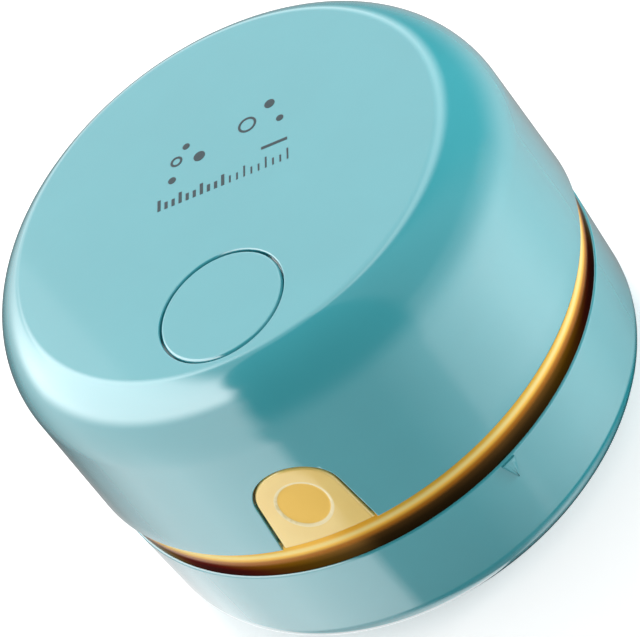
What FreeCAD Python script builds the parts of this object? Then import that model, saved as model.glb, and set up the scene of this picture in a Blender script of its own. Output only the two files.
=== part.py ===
"""Desktop mini vacuum cleaner: a puck that lifts off its dust cup.

Millimetres, +Z up, origin on the table under the middle of the body. The front, with the
release tab and the power button, faces -Y, and the exhaust and the charging port face +Y.
The volute and the backward curved impeller are the pieces that take the most skill.
"""
import FreeCAD, Part
import math
import os

os.makedirs("parts", exist_ok=True)
V = FreeCAD.Vector
UP = V(0, 0, 1)
AXIS = V(0, 0, 0)

# Outer form
body_diameter = 84.0  # across the shell's lower edge
foot_proud = 1.0  # the feet lift the cup off the table
cup_height = 20.0
ring_height = 6.35
shell_height = 30.65
shell_draft = 2.2  # degrees
cup_draft = 0.7  # degrees
shoulder_radius = 12.0
shoulder_turn = 64.0  # degrees of slope where the shoulder meets the crown
crown_radius = 2.4
shell_wall = 2.0

# Dust cup
cup_wall = 2.0
cup_step = 0.56  # the rim stands this far inside the shell's edge
cup_corner = 5.9
rim_chamfer = 0.45
plate_inset = 12.0  # of the brush plate's edge inside the shell's edge
plate_thickness = 4.1
plate_gap = 0.3
plateau_floor = 1.6
chimney_length = 34.0
chimney_width = 8.0
chimney_height = 2.8
chimney_wall = 1.4
catch_width = 10.0
catch_thickness = 1.2
catch_depth = 1.8
catch_below_rim = 0.2
mark_angle = 36.2  # degrees from the front towards +X
mark_width = 2.8
mark_height = 4.0
mark_proud = 0.35

# Brush plate, brushes and feet
mouth_length = 36.0
mouth_width = 10.0
well_length = 42.0
well_width = 22.0
well_corner = 4.0
well_depth = 2.8
brush_length = 36.0
brush_width = 2.4
brush_back = 1.3
brush_offset = 7.6
tuft_width = 1.7
tuft_depth = 1.2
tuft_pitch = 2.9
tuft_clear = 0.15  # bristle ends above the table
foot_radius = 3.5
foot_inset = 4.7  # of the feet's middles inside the plate's edge
foot_seat = 0.8
foot_gap = 0.1

# Screws
case_screw_inset = 7.5  # inside the shell's edge
case_screw_angle = 35.0  # degrees from the front and the back
case_screw_radius = 1.0
case_screw_length = 18.0
case_head_radius = 2.3
case_head_height = 1.6
case_boss_radius = 3.0
plate_screw_inset = 5.0  # inside the plate's edge
plate_screw_radius = 0.8
plate_screw_length = 5.6
plate_head_radius = 1.9
plate_head_height = 1.2
plate_boss_radius = 2.6
plate_boss_height = 2.6
motor_screw_radius = 1.1
motor_screw_length = 3.6
motor_head_radius = 2.1
motor_head_height = 0.9
motor_screw_offset = 8.0
board_screw_radius = 0.8
board_screw_length = 4.0
board_head_radius = 1.6
board_head_height = 0.9
screw_gap = 0.05
head_gap = 0.3
screw_slot = 0.25  # of the head's radius, the cross slot's width
slot_reach = 0.62  # of the head's radius

# Trim ring
ring_foot_step = 0.8  # inside the shell's edge, at the cup's rim
ring_crest_step = 0.05  # inside the shell's edge, at the crest of the roll
ring_neck_step = 1.0  # inside the shell's edge, on the neck that carries the shell
roll_radius = 2.7  # of the roll above its crest
roll_drop = 2.45  # of the crest below the shell's edge
ring_inset = 2.6
spigot_height = 3.0
spigot_wall = 0.7
spigot_gap = 0.25
lip_height = 1.0
lip_reach = 1.2
seal_width = 0.8
seal_height = 1.2
seal_clear = 0.3
seal_inset = 1.7  # of the seal's middle inside the shell's edge

# Fan cover and volute
cover_plate = 1.6
cover_drop = 2.0  # underside of the cover below the shell's edge
cover_gap = 0.4
skirt_wall = 1.4
skirt_depth = 5.0  # into the cup
catch_notch = 14.0
eye_radius = 9.0
eye_ring_radius = 4.2
eye_bar = 1.2
eye_spokes = 6
collar_radius = 22.4
collar_wall = 1.4
collar_height = 3.5
volute_clear = 1.8  # round the impeller where the spiral starts
volute_step = 1.6
volute_wall = 1.4
volute_height = 10.4
outlet_length = 19.0

# Impeller
impeller_inset = 20.0  # of the blade tips inside the shell's edge
impeller_floor_gap = 1.0
impeller_height = 7.6
back_plate = 1.0
hub_radius = 4.5
hub_rise = 0.8  # its lower end above the blades' lower edge
hub_proud = 0.4  # above the back plate
blade_count = 11
blade_thickness = 1.0
blade_inner_radius = 9.5
blade_sweep = 46.0  # degrees swept backwards from root to tip
blade_bow = 2.6
shaft_radius = 1.0
shaft_length = 19.0
shaft_gap = 0.05
shaft_end_gap = 0.5

# Filter
filter_height = 7.0
filter_gap = 0.2
filter_wall = 1.4
filter_grid = 1.0
filter_bar = 1.4
filter_bar_offset = 8.0
pleat_count = 9
pleat_height = 2.0
pleat_sheet = 0.6
pleat_rim = 0.4
filter_seal_height = 0.7
grip_reach = 3.0
grip_width = 6.0
grip_thickness = 1.2

# Deck and motor
deck_thickness = 1.8
deck_gap = 1.0
deck_front_inset = 7.0  # inside the shell's edge
deck_front_width = 20.0
motor_radius = 12.2
motor_length = 10.0
motor_nose_radius = 4.5
motor_nose_length = 1.6
motor_fit = 0.2
bush_radius = 3.0
bush_length = 4.2
bush_fit = 0.02
end_cap_radius = 10.0
end_cap_height = 1.2
terminal_offset = 4.0
terminal_length = 3.0
terminal_width = 1.2
terminal_height = 1.0
terminal_front = 8.0  # front ends of the terminals from the axis

# Power button and its switch
button_radius = 9.45
button_gap = 0.25
button_inset = 18.9  # of the button's middle inside the shell's edge
button_travel = 1.0
button_flange = 0.75
flange_thickness = 0.9
flange_clear = 0.1
guide_gap = 0.25
guide_wall = 1.0
guide_depth = 3.0
stem_radius = 2.0
stem_length = 2.2
plunger_gap = 0.05
plunger_side = 3.4
plunger_proud = 1.5
plunger_length = 2.4
switch_side = 7.0
switch_height = 5.0
switch_fit = 0.15
plunger_spare = 0.3  # room under the plunger when the button is down

# Release tab and latch arm
tab_height = 15.05
tab_arch_radius = 6.2
tab_lean = 6.2  # degrees that its sides lean, wider at the foot
tab_gap = 0.25
tab_flange = 1.6
tab_flange_wall = 1.2
tab_flange_gap = 0.3
tab_travel = 1.8
dimple_radius = 3.8
dimple_rim = 0.5
dimple_depth = 0.4
dimple_height = 7.75  # centre above the shell's edge
pusher_width = 6.0
pusher_height = 3.0
pusher_rise = 1.6
pusher_gap = 0.1
arm_width = 8.0
arm_thickness = 1.2
arm_inset = 7.2  # of the arm's outer face inside the shell's edge
arm_below_rim = 4.0
arm_room = 0.6  # round the arm where it passes the fan cover
arm_anchor_depth = 3.3
arm_anchor_height = 2.5
nose_height = 2.3
nose_gap = 0.3
nose_overlap = 1.1

# Boards, battery and sockets
board_thickness = 1.2
board_width = 28.0
board_front_inset = 7.8  # of its front edge inside the shell's edge
board_gap = 2.0  # behind it to the motor
board_post_radius = 2.0
board_post_inset = 2.5
chip_side = 5.0
chip_height = 1.0
chip_gap = 1.0  # to the switch
chip_front = 6.0  # its front edge before the switch's middle
coil_front = 4.0
coil_radius = 2.4
coil_height = 3.0
charge_board_width = 18.0
charge_board_depth = 12.0
charge_board_rise = 1.6
charge_board_inset = 4.0  # of its back edge inside the shell's edge
charge_chip_side = 4.0
socket_width = 8.9
socket_depth = 7.3
socket_height = 3.2
socket_wall = 0.35
socket_out = 2.1  # beyond the board's edge
tongue_thickness = 0.7
tongue_width = 6.6
port_gap = 0.25
led_radius = 1.2
led_gap = 0.15
led_offset = 8.0
led_holder = 2.6
led_holder_depth = 3.0
battery_inset = 9.5  # of its far face inside the shell's edge
battery_length = 34.0
battery_height = 7.0
battery_gap = 3.3  # to the motor
battery_round = 2.0
pad_thickness = 1.2
pad_inset = 3.0
lead_width = 1.2
lead_height = 0.6
lead_overlap = 2.0  # of a lead on its board
board_lead_y = 6.6  # of the charging lead in front of the board's back edge
battery_lead_run = 3.2  # from the cell's end towards the front
battery_lead_step = 2.5  # from the cell's near face

# Exhaust
slot_count = 9
slot_width = 1.6
slot_pitch = 7.0  # degrees
slot_above_spigot = 0.5
slot_height = 5.7

# Levels, from the table up
cup_z = foot_proud
rim_z = cup_z + cup_height
edge_z = rim_z + ring_height
top_z = edge_z + shell_height
ceiling_z = top_z - shell_wall
cover_z = edge_z - cover_drop
cover_top_z = cover_z + cover_plate
deck_z = cover_top_z + volute_height
shaft_z = cover_top_z + impeller_floor_gap + hub_rise
deck_top_z = deck_z + deck_thickness
plate_top_z = cup_z + plate_thickness
plateau_z = plate_top_z + plateau_floor
chimney_z = plateau_z + chimney_height
flange_z = ceiling_z - flange_clear - flange_thickness
stem_z = flange_z - stem_length
plunger_top_z = stem_z - plunger_gap
switch_top_z = plunger_top_z - plunger_proud
board_top_z = switch_top_z - switch_height
board_z = board_top_z - board_thickness
charge_board_z = deck_top_z + charge_board_rise
charge_top_z = charge_board_z + board_thickness
port_z = charge_top_z + socket_height / 2
seal_top_z = rim_z + seal_clear + seal_height
catch_top_z = rim_z - catch_below_rim
catch_z = catch_top_z - catch_thickness
filter_z = cover_z - filter_height

# Radii
edge_r = body_diameter / 2
plate_radius = edge_r - plate_inset
foot_circle = plate_radius - foot_inset
plate_screw_circle = plate_radius - plate_screw_inset
case_screw_circle = edge_r - case_screw_inset
seal_r = edge_r - seal_inset
arm_face = edge_r - arm_inset
impeller_radius = edge_r - impeller_inset
button_offset = edge_r - button_inset
board_back = motor_radius + board_gap
board_front = edge_r - board_front_inset
charge_board_back = edge_r - charge_board_inset
battery_side = motor_radius + battery_gap
battery_far = edge_r - battery_inset
draft = math.radians(shell_draft)
turn = math.radians(shoulder_turn)
rim_r = edge_r - cup_step
cup_inner_r = rim_r - cup_wall
ring_inner_r = edge_r - ring_inset
spigot_r = edge_r - shell_wall - spigot_gap
cover_r = ring_inner_r - cover_gap
skirt_inner_r = cover_r - skirt_wall
plate_recess_r = plate_radius + plate_gap
filter_inner_r = collar_radius + filter_gap
filter_outer_r = filter_inner_r + filter_wall
catch_r = cup_inner_r - catch_depth

case_screw_angles = [case_screw_angle, 180 - case_screw_angle, 180 + case_screw_angle, -case_screw_angle]
plate_screw_angles = [45, 135, 225, 315]
foot_angles = [0, 90, 180, 270]


# Shapes that many pieces use

def around(angle, radius):
    """A place on a circle, by its angle from the front towards +X."""
    turned_by = math.radians(angle)
    return radius * math.sin(turned_by), -radius * math.cos(turned_by)


def disc(radius, low, high, x=0.0, y=0.0):
    return Part.makeCylinder(radius, high - low, V(x, y, low))


def tube(inner, outer, low, high, x=0.0, y=0.0):
    return disc(outer, low, high, x, y).cut(disc(inner, low, high, x, y))


def rod_along_y(radius, x, z, near, far):
    return Part.makeCylinder(radius, far - near, V(x, near, z), V(0, 1, 0))


def block(x0, x1, y0, y1, z0, z1):
    return Part.makeBox(x1 - x0, y1 - y0, z1 - z0, V(x0, y0, z0))


def stadium(length, width, low, high):
    """A long hole's form, lying along X."""
    reach = (length - width) / 2
    bar = block(-reach, reach, -width / 2, width / 2, low, high)
    ends = [disc(width / 2, low, high, side * reach) for side in (-1, 1)]
    return bar.multiFuse(ends).removeSplitter()


def soft_block(length, width, corner, low, high):
    """A bar along X with round upright edges."""
    bar = block(-length / 2, length / 2, -width / 2, width / 2, low, high)
    upright = [edge for edge in bar.Edges if abs(edge.tangentAt(edge.FirstParameter).z) > 0.9]
    return bar.makeFillet(corner, upright)


def line(start, end):
    return Part.LineSegment(start, end).toShape()


def arc(start, middle, end):
    return Part.Arc(start, middle, end).toShape()


def turned(edges):
    """A body of revolution from edges drawn in the XZ half plane."""
    face = Part.Face(Part.Wire(edges))
    return face.revolve(AXIS, UP, 360)


def turned_outline(points):
    corners = [V(radius, 0, height) for radius, height in points]
    edges = [line(a, b) for a, b in zip(corners, corners[1:] + corners[:1])]
    return turned(edges)


def screw(x, y, head_low, head_radius, head_height, shank_radius, length):
    """A pan head screw driven upwards, with its cross slot."""
    head = disc(head_radius, head_low, head_low + head_height, x, y)
    shank = disc(shank_radius, head_low + head_height, head_low + head_height + length, x, y)
    slot_half = head_radius * screw_slot / 2
    reach = head_radius * slot_reach
    depth = head_low + head_height / 2
    across = block(x - reach, x + reach, y - slot_half, y + slot_half, head_low, depth)
    along = block(x - slot_half, x + slot_half, y - reach, y + reach, head_low, depth)
    return head.fuse(shank).cut(across.fuse(along))


def save(name, solids):
    """Write one node, made of one solid or of a group of like solids."""
    made = []
    for solid in solids:
        made.extend(solid.removeSplitter().Solids)
    shape = made[0] if len(made) == 1 else Part.makeCompound(made)
    shape.exportStep("parts/" + name + ".step")


# Top shell

def shoulder_centre():
    """The centre of the shoulder's arc, tangent to the drafted side and to the crown's arc."""
    height = top_z - crown_radius - (shoulder_radius - crown_radius) * math.sin(turn)
    start_z = height + shoulder_radius * math.sin(draft)
    start_r = edge_r - (start_z - edge_z) * math.tan(draft)
    return start_r - shoulder_radius * math.cos(draft), height


def on_shoulder(radius, angle):
    centre_r, centre_z = shoulder_centre()
    return V(centre_r + radius * math.cos(angle), 0, centre_z + radius * math.sin(angle))


def shell_form():
    """The shell's outside as a full body."""
    side_top = on_shoulder(shoulder_radius, draft)
    middle = on_shoulder(shoulder_radius, (draft + turn) / 2)
    crown_start = on_shoulder(shoulder_radius, turn)
    crown_centre = on_shoulder(shoulder_radius - crown_radius, turn)
    crown_angle = (turn + math.pi / 2) / 2
    crown_step = V(math.cos(crown_angle) * crown_radius, 0, math.sin(crown_angle) * crown_radius)
    crown_end = crown_centre + V(0, 0, crown_radius)
    foot = V(edge_r, 0, edge_z)
    edges = [
        line(V(0, 0, edge_z), foot),
        line(foot, side_top),
        arc(side_top, middle, crown_start),
        arc(crown_start, crown_centre + crown_step, crown_end),
        line(crown_end, V(0, 0, top_z)),
        line(V(0, 0, top_z), V(0, 0, edge_z)),
    ]
    return turned(edges)


def shell_hollow(inset):
    """The space inside the shell, drawn in by inset. Its shoulder is two cones."""
    centre_z = shoulder_centre()[1]
    radius = shoulder_radius - inset
    roof = top_z - inset
    roof_angle = math.asin((roof - centre_z) / radius)
    points = [(0, edge_z), (edge_r - inset, edge_z)]
    for angle in (draft, (draft + roof_angle) / 2, roof_angle):
        corner = on_shoulder(radius, angle)
        points.append((corner.x, corner.z))
    points.append((0, roof))
    return turned_outline(points)


def tab_half(grow, height):
    """Half the tab's width at a height on its straight sides, grown all round."""
    lean = math.radians(tab_lean)
    radius = tab_arch_radius + grow
    sides_end = edge_z + tab_height - tab_arch_radius + radius * math.sin(lean)
    return radius * math.cos(lean) + (sides_end - height) * math.tan(lean)


def tab_prism(grow, low, near, far):
    """The release tab's outline, an arch on two leaning sides, grown all round, as a prism along Y."""
    lean = math.radians(tab_lean)
    radius = tab_arch_radius + grow
    centre_z = edge_z + tab_height - tab_arch_radius
    half = tab_half(grow, low)
    foot_left = V(-half, near, low)
    foot_right = V(half, near, low)
    right = V(radius * math.cos(lean), near, centre_z + radius * math.sin(lean))
    left = V(-right.x, near, right.z)
    edges = [
        line(foot_left, foot_right),
        line(foot_right, right),
        arc(right, V(0, near, centre_z + radius), left),
        line(left, foot_left),
    ]
    return Part.Face(Part.Wire(edges)).extrude(V(0, far - near, 0))


def exhaust_slots():
    low = edge_z + spigot_height + slot_above_spigot
    half = slot_width / 2
    slot = block(-half, half, cover_r - skirt_wall, edge_r + 1, low, low + slot_height)
    slots = []
    for step in range(slot_count):
        copy = slot.copy()
        copy.rotate(AXIS, UP, (step - (slot_count - 1) / 2) * slot_pitch)
        slots.append(copy)
    return slots


def port_hole():
    width = socket_width + 2 * port_gap
    height = socket_height + 2 * port_gap
    near = charge_board_back
    far = edge_r + 1
    reach = (width - height) / 2
    bar = block(-reach, reach, near, far, port_z - height / 2, port_z + height / 2)
    ends = [rod_along_y(height / 2, side * reach, port_z, near, far) for side in (-1, 1)]
    return bar.multiFuse(ends)


def make_top_shell():
    shell = shell_form().cut(shell_hollow(shell_wall))
    inside_wall = shell_hollow(shell_wall / 2)
    guide_inner = button_radius + button_flange + guide_gap
    guide_low = ceiling_z - guide_depth
    guide = tube(guide_inner, guide_inner + guide_wall, guide_low, top_z, 0, -button_offset)
    lead_half = terminal_offset + lead_width
    lead_room = block(-lead_half, lead_half, -button_offset, 0, guide_low, ceiling_z)
    extras = [guide.common(inside_wall).cut(lead_room)]
    cuts = [
        disc(button_radius + button_gap, guide_low, top_z + 1, 0, -button_offset),
        disc(guide_inner, guide_low, ceiling_z, 0, -button_offset),
    ]
    for angle in case_screw_angles:
        x, y = around(angle, case_screw_circle)
        extras.append(disc(case_boss_radius, deck_top_z, top_z, x, y).common(inside_wall))
        pilot_top = deck_top_z + case_screw_length / 2
        cuts.append(disc(case_screw_radius + screw_gap, deck_top_z - 1, pilot_top, x, y))
    shell = shell.multiFuse(extras)
    cuts.append(tab_prism(tab_gap, edge_z - 1, -edge_r - 1, -edge_r / 2))
    cuts.extend(exhaust_slots())
    cuts.append(port_hole())
    cuts.append(rod_along_y(led_radius + led_gap, led_offset, port_z, charge_board_back, edge_r + 1))
    return shell.cut(cuts)


# Trim ring and cup seal

def make_trim_ring():
    """A round roll, fuller above its crest than below, and a neck that the shell's edge stands on."""
    foot_r = edge_r - ring_foot_step
    neck_r = edge_r - ring_neck_step
    crest_r = edge_r - ring_crest_step
    crest_z = edge_z - roll_drop
    roll_r = crest_r - roll_radius
    fall = crest_z - rim_z
    lower_radius = (fall ** 2 + (crest_r - foot_r) ** 2) / (2 * (crest_r - foot_r))
    spigot_inner = spigot_r - spigot_wall
    lip_r = cover_r - lip_reach
    lip_top = cover_top_z + lip_height
    foot = V(foot_r, 0, rim_z)
    crest = V(crest_r, 0, crest_z)
    below = V(crest_r - lower_radius + math.sqrt(lower_radius ** 2 - (fall / 2) ** 2), 0, rim_z + fall / 2)
    shoulder = V(neck_r, 0, crest_z + math.sqrt(roll_radius ** 2 - (neck_r - roll_r) ** 2))
    angle = math.asin((shoulder.z - crest_z) / roll_radius) / 2
    above = V(roll_r + roll_radius * math.cos(angle), 0, crest_z + roll_radius * math.sin(angle))
    inside = [
        shoulder,
        V(neck_r, 0, edge_z),
        V(spigot_r, 0, edge_z),
        V(spigot_r, 0, edge_z + spigot_height),
        V(spigot_inner, 0, edge_z + spigot_height),
        V(spigot_inner, 0, lip_top),
        V(lip_r, 0, lip_top),
        V(lip_r, 0, cover_top_z),
        V(ring_inner_r, 0, cover_top_z),
        V(ring_inner_r, 0, rim_z),
        foot,
    ]
    edges = [arc(foot, below, crest), arc(crest, above, shoulder)]
    edges.extend(line(a, b) for a, b in zip(inside, inside[1:]))
    ring = turned(edges)
    half = tab_half(tab_gap + tab_flange + tab_flange_gap, edge_z)
    tab_room = block(-half, half, -edge_r, -cover_r / 2, edge_z, edge_z + spigot_height + 1)
    groove = tube(seal_r - seal_width / 2, seal_r + seal_width / 2, rim_z - 1, seal_top_z)
    return ring.cut([tab_room, groove])


def make_cup_seal():
    return tube(seal_r - seal_width / 2, seal_r + seal_width / 2, rim_z + seal_clear, seal_top_z)


# Dust cup

def cup_side(height, proud=0.0):
    """The cup's outer radius at a height."""
    return rim_r - (rim_z - height) * math.tan(math.radians(cup_draft)) + proud


def make_dust_cup():
    corner_z = cup_z + cup_corner
    corner_r = cup_side(corner_z)
    bend = cup_corner * (1 - math.sqrt(0.5))
    inner_floor = cup_z + cup_wall
    inner_corner = corner_r - cup_wall
    plateau_r = plate_recess_r + plateau_floor
    floor_start = V(corner_r - cup_corner, 0, cup_z)
    side_start = V(corner_r, 0, corner_z)
    side_end = V(cup_side(rim_z - rim_chamfer), 0, rim_z - rim_chamfer)
    rim_outer = V(rim_r - rim_chamfer, 0, rim_z)
    inside = [
        rim_outer,
        V(cup_inner_r, 0, rim_z),
        V(inner_corner, 0, corner_z),
        V(corner_r - cup_corner, 0, inner_floor),
        V(plateau_r + plateau_floor, 0, inner_floor),
        V(plateau_r, 0, plateau_z),
        V(0, 0, plateau_z),
        V(0, 0, plate_top_z),
        V(plate_recess_r, 0, plate_top_z),
        V(plate_recess_r, 0, cup_z),
        floor_start,
    ]
    edges = [
        arc(floor_start, V(corner_r - bend, 0, cup_z + bend), side_start),
        line(side_start, side_end),
        line(side_end, rim_outer),
    ]
    edges.extend(line(a, b) for a, b in zip(inside, inside[1:]))
    cup = turned(edges)
    outer_length = chimney_length + 2 * chimney_wall
    outer_width = chimney_width + 2 * chimney_wall
    chimney = stadium(outer_length, outer_width, plateau_z - plateau_floor, chimney_z)
    catch_band = tube(catch_r, cup_inner_r + cup_wall / 2, catch_z, catch_top_z)
    catch = catch_band.common(block(-catch_width / 2, catch_width / 2, -edge_r, 0, catch_z, catch_top_z))
    extras = [chimney, catch, alignment_mark()]
    cuts = [stadium(chimney_length, chimney_width, 0, chimney_z + 1)]
    boss_top = plateau_z + plate_boss_height
    for angle in plate_screw_angles:
        x, y = around(angle, plate_screw_circle)
        extras.append(disc(plate_boss_radius, plateau_z - plateau_floor / 2, boss_top, x, y))
        cuts.append(disc(plate_screw_radius + screw_gap, 0, boss_top - 0.5, x, y))
    return cup.multiFuse(extras).cut(cuts)


def alignment_mark():
    """A raised wedge on the cup's side, its point down."""
    high = rim_z - rim_chamfer
    low = high - mark_height
    near = -edge_r - 1
    corners = [V(-mark_width / 2, near, high), V(mark_width / 2, near, high), V(0, near, low)]
    edges = [line(a, b) for a, b in zip(corners, corners[1:] + corners[:1])]
    wedge = Part.Face(Part.Wire(edges)).extrude(V(0, edge_r / 4, 0))
    inner = cup_wall / 2
    band = turned_outline([
        (cup_side(low) - inner, low),
        (cup_side(low, mark_proud), low),
        (cup_side(high, mark_proud), high),
        (cup_side(high) - inner, high),
    ])
    mark = wedge.common(band)
    mark.rotate(AXIS, UP, mark_angle)
    return mark


# Brush plate, brushes, feet and their screws

def make_brush_plate():
    plate = disc(plate_radius, cup_z, plate_top_z)
    cuts = [
        soft_block(well_length, well_width, well_corner, cup_z - 1, cup_z + well_depth),
        stadium(mouth_length, mouth_width, cup_z, plate_top_z + 1),
    ]
    for angle in foot_angles:
        x, y = around(angle, foot_circle)
        cuts.append(disc(foot_radius + foot_gap, cup_z - 1, cup_z + foot_seat, x, y))
    seat_z = plate_seat_z()
    for angle in plate_screw_angles:
        x, y = around(angle, plate_screw_circle)
        cuts.append(disc(plate_head_radius + head_gap, cup_z - 1, seat_z, x, y))
        cuts.append(disc(plate_screw_radius + screw_gap, cup_z, plate_top_z + 1, x, y))
    return plate.cut(cuts)


def plate_seat_z():
    """Where the heads of the brush plate's screws bear."""
    return cup_z + head_gap + plate_head_height


def make_plate_screws():
    made = []
    for angle in plate_screw_angles:
        x, y = around(angle, plate_screw_circle)
        made.append(screw(
            x, y, cup_z + head_gap,
            plate_head_radius, plate_head_height, plate_screw_radius, plate_screw_length,
        ))
    return made


def make_brush(side):
    """A strip brush: its back glued into the plate's well, and a row of tufts."""
    middle = side * brush_offset
    reach = brush_length / 2
    half = brush_width / 2
    back_top = cup_z + well_depth
    back_low = back_top - brush_back
    back = block(-reach, reach, middle - half, middle + half, back_low, back_top)
    count = int((brush_length - tuft_width) / tuft_pitch) + 1
    first = -(count - 1) * tuft_pitch / 2
    tufts = []
    for place in range(count):
        x0 = first + place * tuft_pitch - tuft_width / 2
        y0 = middle - tuft_depth / 2
        tufts.append(block(x0, x0 + tuft_width, y0, y0 + tuft_depth, tuft_clear, back_low))
    return back.multiFuse(tufts)


def make_feet():
    made = []
    for angle in foot_angles:
        x, y = around(angle, foot_circle)
        made.append(disc(foot_radius, 0, cup_z + foot_seat, x, y))
    return made


# Fan cover with its volute

def volute_arc(quarter, extra):
    """One quarter of the spiral: start, middle and end, with extra added to its radius."""
    corners = [(-1, 1), (-1, -1), (1, -1), (1, 1)]
    centre_x, centre_y = [sign * volute_step / 2 for sign in corners[quarter]]
    radius = impeller_radius + volute_clear + quarter * volute_step + extra
    spots = []
    for part in (0, 0.5, 1):
        angle = math.radians((quarter + part) * 90)
        x = centre_x + radius * math.cos(angle)
        y = centre_y + radius * math.sin(angle)
        spots.append(V(x, y, cover_top_z))
    return spots


def make_volute():
    """A spiral wall of constant thickness, growing to the straight outlet on the +X side."""
    inner = [volute_arc(quarter, 0) for quarter in range(4)]
    outer = [volute_arc(quarter, volute_wall) for quarter in range(4)]
    inner_end = inner[3][2] + V(0, outlet_length, 0)
    outer_end = outer[3][2] + V(0, outlet_length, 0)
    edges = [arc(*spots) for spots in inner]
    edges.append(line(inner[3][2], inner_end))
    edges.append(line(inner_end, outer_end))
    edges.append(line(outer_end, outer[3][2]))
    edges.extend(arc(*reversed(spots)) for spots in reversed(outer))
    edges.append(line(outer[0][0], inner[0][0]))
    return Part.Face(Part.Wire(edges)).extrude(V(0, 0, volute_height))


def make_fan_cover():
    plate = disc(cover_r, cover_z, cover_top_z)
    skirt = tube(skirt_inner_r, cover_r, rim_z - skirt_depth, cover_z)
    collar = tube(collar_radius - collar_wall, collar_radius, cover_z - collar_height, cover_z)
    extras = [skirt, collar, make_volute()]
    half = catch_notch / 2
    notch_back = -skirt_inner_r + skirt_wall
    notch = block(-half, half, -edge_r, notch_back, rim_z - skirt_depth - 1, cover_z)
    slot_half = arm_width / 2 + arm_room
    slot_back = arm_face - arm_thickness - tab_travel - arm_room
    cuts = [notch, block(-slot_half, slot_half, -edge_r, -slot_back, cover_z - 1, cover_top_z + 1)]
    eye = tube(eye_ring_radius, eye_radius, cover_z - 1, cover_top_z + 1)
    for step in range(eye_spokes):
        spoke = block(0, eye_radius + 1, -eye_bar / 2, eye_bar / 2, cover_z - 1, cover_top_z + 1)
        spoke.rotate(AXIS, UP, step * 360 / eye_spokes)
        eye = eye.cut(spoke)
    cuts.append(eye)
    cuts.append(disc(eye_ring_radius - eye_bar, cover_z - 1, cover_top_z + 1))
    for angle in case_screw_angles:
        x, y = around(angle, case_screw_circle)
        extras.append(disc(case_boss_radius, cover_top_z, deck_z, x, y))
        cuts.append(disc(case_head_radius + head_gap, cover_z - 1, case_seat_z(), x, y))
        cuts.append(disc(case_screw_radius + screw_gap, cover_z, deck_z + 1, x, y))
    return plate.multiFuse(extras).cut(cuts)


def case_seat_z():
    """Where the heads of the case screws bear."""
    return cover_z + head_gap + case_head_height


def make_case_screws():
    made = []
    for angle in case_screw_angles:
        x, y = around(angle, case_screw_circle)
        made.append(screw(
            x, y, cover_z + head_gap,
            case_head_radius, case_head_height, case_screw_radius, case_screw_length,
        ))
    return made


# Impeller and shaft

def make_blade(low, high):
    """One backward curved blade, an arc of constant thickness from the hub's side to the tip."""
    tip_r = impeller_radius - 0.2
    sweep = math.radians(-blade_sweep)
    root = V(blade_inner_radius, 0, low)
    tip = V(tip_r * math.cos(sweep), tip_r * math.sin(sweep), low)
    chord = tip - root
    across = V(-chord.y, chord.x, 0).normalize()
    middle = (root + tip) * 0.5 + across * blade_bow
    half = across * (blade_thickness / 2)
    edges = [
        arc(root + half, middle + half, tip + half),
        line(tip + half, tip - half),
        arc(tip - half, middle - half, root - half),
        line(root - half, root + half),
    ]
    return Part.Face(Part.Wire(edges)).extrude(V(0, 0, high - low))


def make_impeller():
    low = cover_top_z + impeller_floor_gap
    top = low + impeller_height
    plate_low = top - back_plate
    hub = disc(hub_radius, shaft_z, top + hub_proud)
    blades = []
    for step in range(blade_count):
        blade = make_blade(low, plate_low)
        blade.rotate(AXIS, UP, step * 360 / blade_count)
        blades.append(blade)
    wheel = disc(impeller_radius, plate_low, top).multiFuse([hub] + blades)
    return wheel.cut(disc(shaft_radius, low - 1, top + 1))


def make_shaft():
    return disc(shaft_radius, shaft_z, shaft_z + shaft_length)


# Filter

def make_filter_frame():
    frame = tube(filter_inner_r, filter_outer_r, filter_z, cover_z - seal_clear - filter_seal_height)
    floor_r = (filter_inner_r + filter_outer_r) / 2
    bars = []
    for side in (-1, 0, 1):
        middle = side * filter_bar_offset
        low = middle - filter_bar / 2
        high = middle + filter_bar / 2
        bars.append(block(-floor_r, floor_r, low, high, filter_z, filter_z + filter_grid))
        bars.append(block(low, high, -floor_r, floor_r, filter_z, filter_z + filter_grid))
    grid = bars[0].multiFuse(bars[1:]).common(disc(floor_r, filter_z, filter_z + filter_grid))
    shelf = tube(filter_inner_r - filter_bar, floor_r, filter_z, filter_z + filter_grid)
    grip_end = filter_outer_r + grip_reach
    grips = []
    for side in (-1, 1):
        x0, x1 = sorted((side * floor_r, side * grip_end))
        grips.append(block(x0, x1, -grip_width / 2, grip_width / 2, filter_z, filter_z + grip_thickness))
    return frame.multiFuse([grid, shelf] + grips)


def make_filter_mesh():
    """One sheet folded to and fro, trimmed round, with a rim that lies on the frame's shelf."""
    low = filter_z + filter_grid
    span = 2 * filter_inner_r / pleat_count
    under = []
    for fold in range(pleat_count + 1):
        x = -filter_inner_r + fold * span
        under.append(V(x, -filter_inner_r, low))
        if fold < pleat_count:
            under.append(V(x + span / 2, -filter_inner_r, low + pleat_height - pleat_sheet))
    over = [spot + V(0, 0, pleat_sheet) for spot in reversed(under)]
    corners = under + over
    edges = [line(a, b) for a, b in zip(corners, corners[1:] + corners[:1])]
    sheet = Part.Face(Part.Wire(edges)).extrude(V(0, 2 * filter_inner_r, 0))
    outer = filter_inner_r - 0.1
    sheet = sheet.common(disc(outer - pleat_rim / 2, low, low + pleat_height))
    rim = tube(outer - 2 * pleat_rim, outer, low, low + pleat_sheet)
    return sheet.fuse(rim)


def make_filter_seal():
    high = cover_z - seal_clear
    return tube(filter_inner_r, filter_outer_r, high - filter_seal_height, high)


# Deck, motor and its small parts

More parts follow.
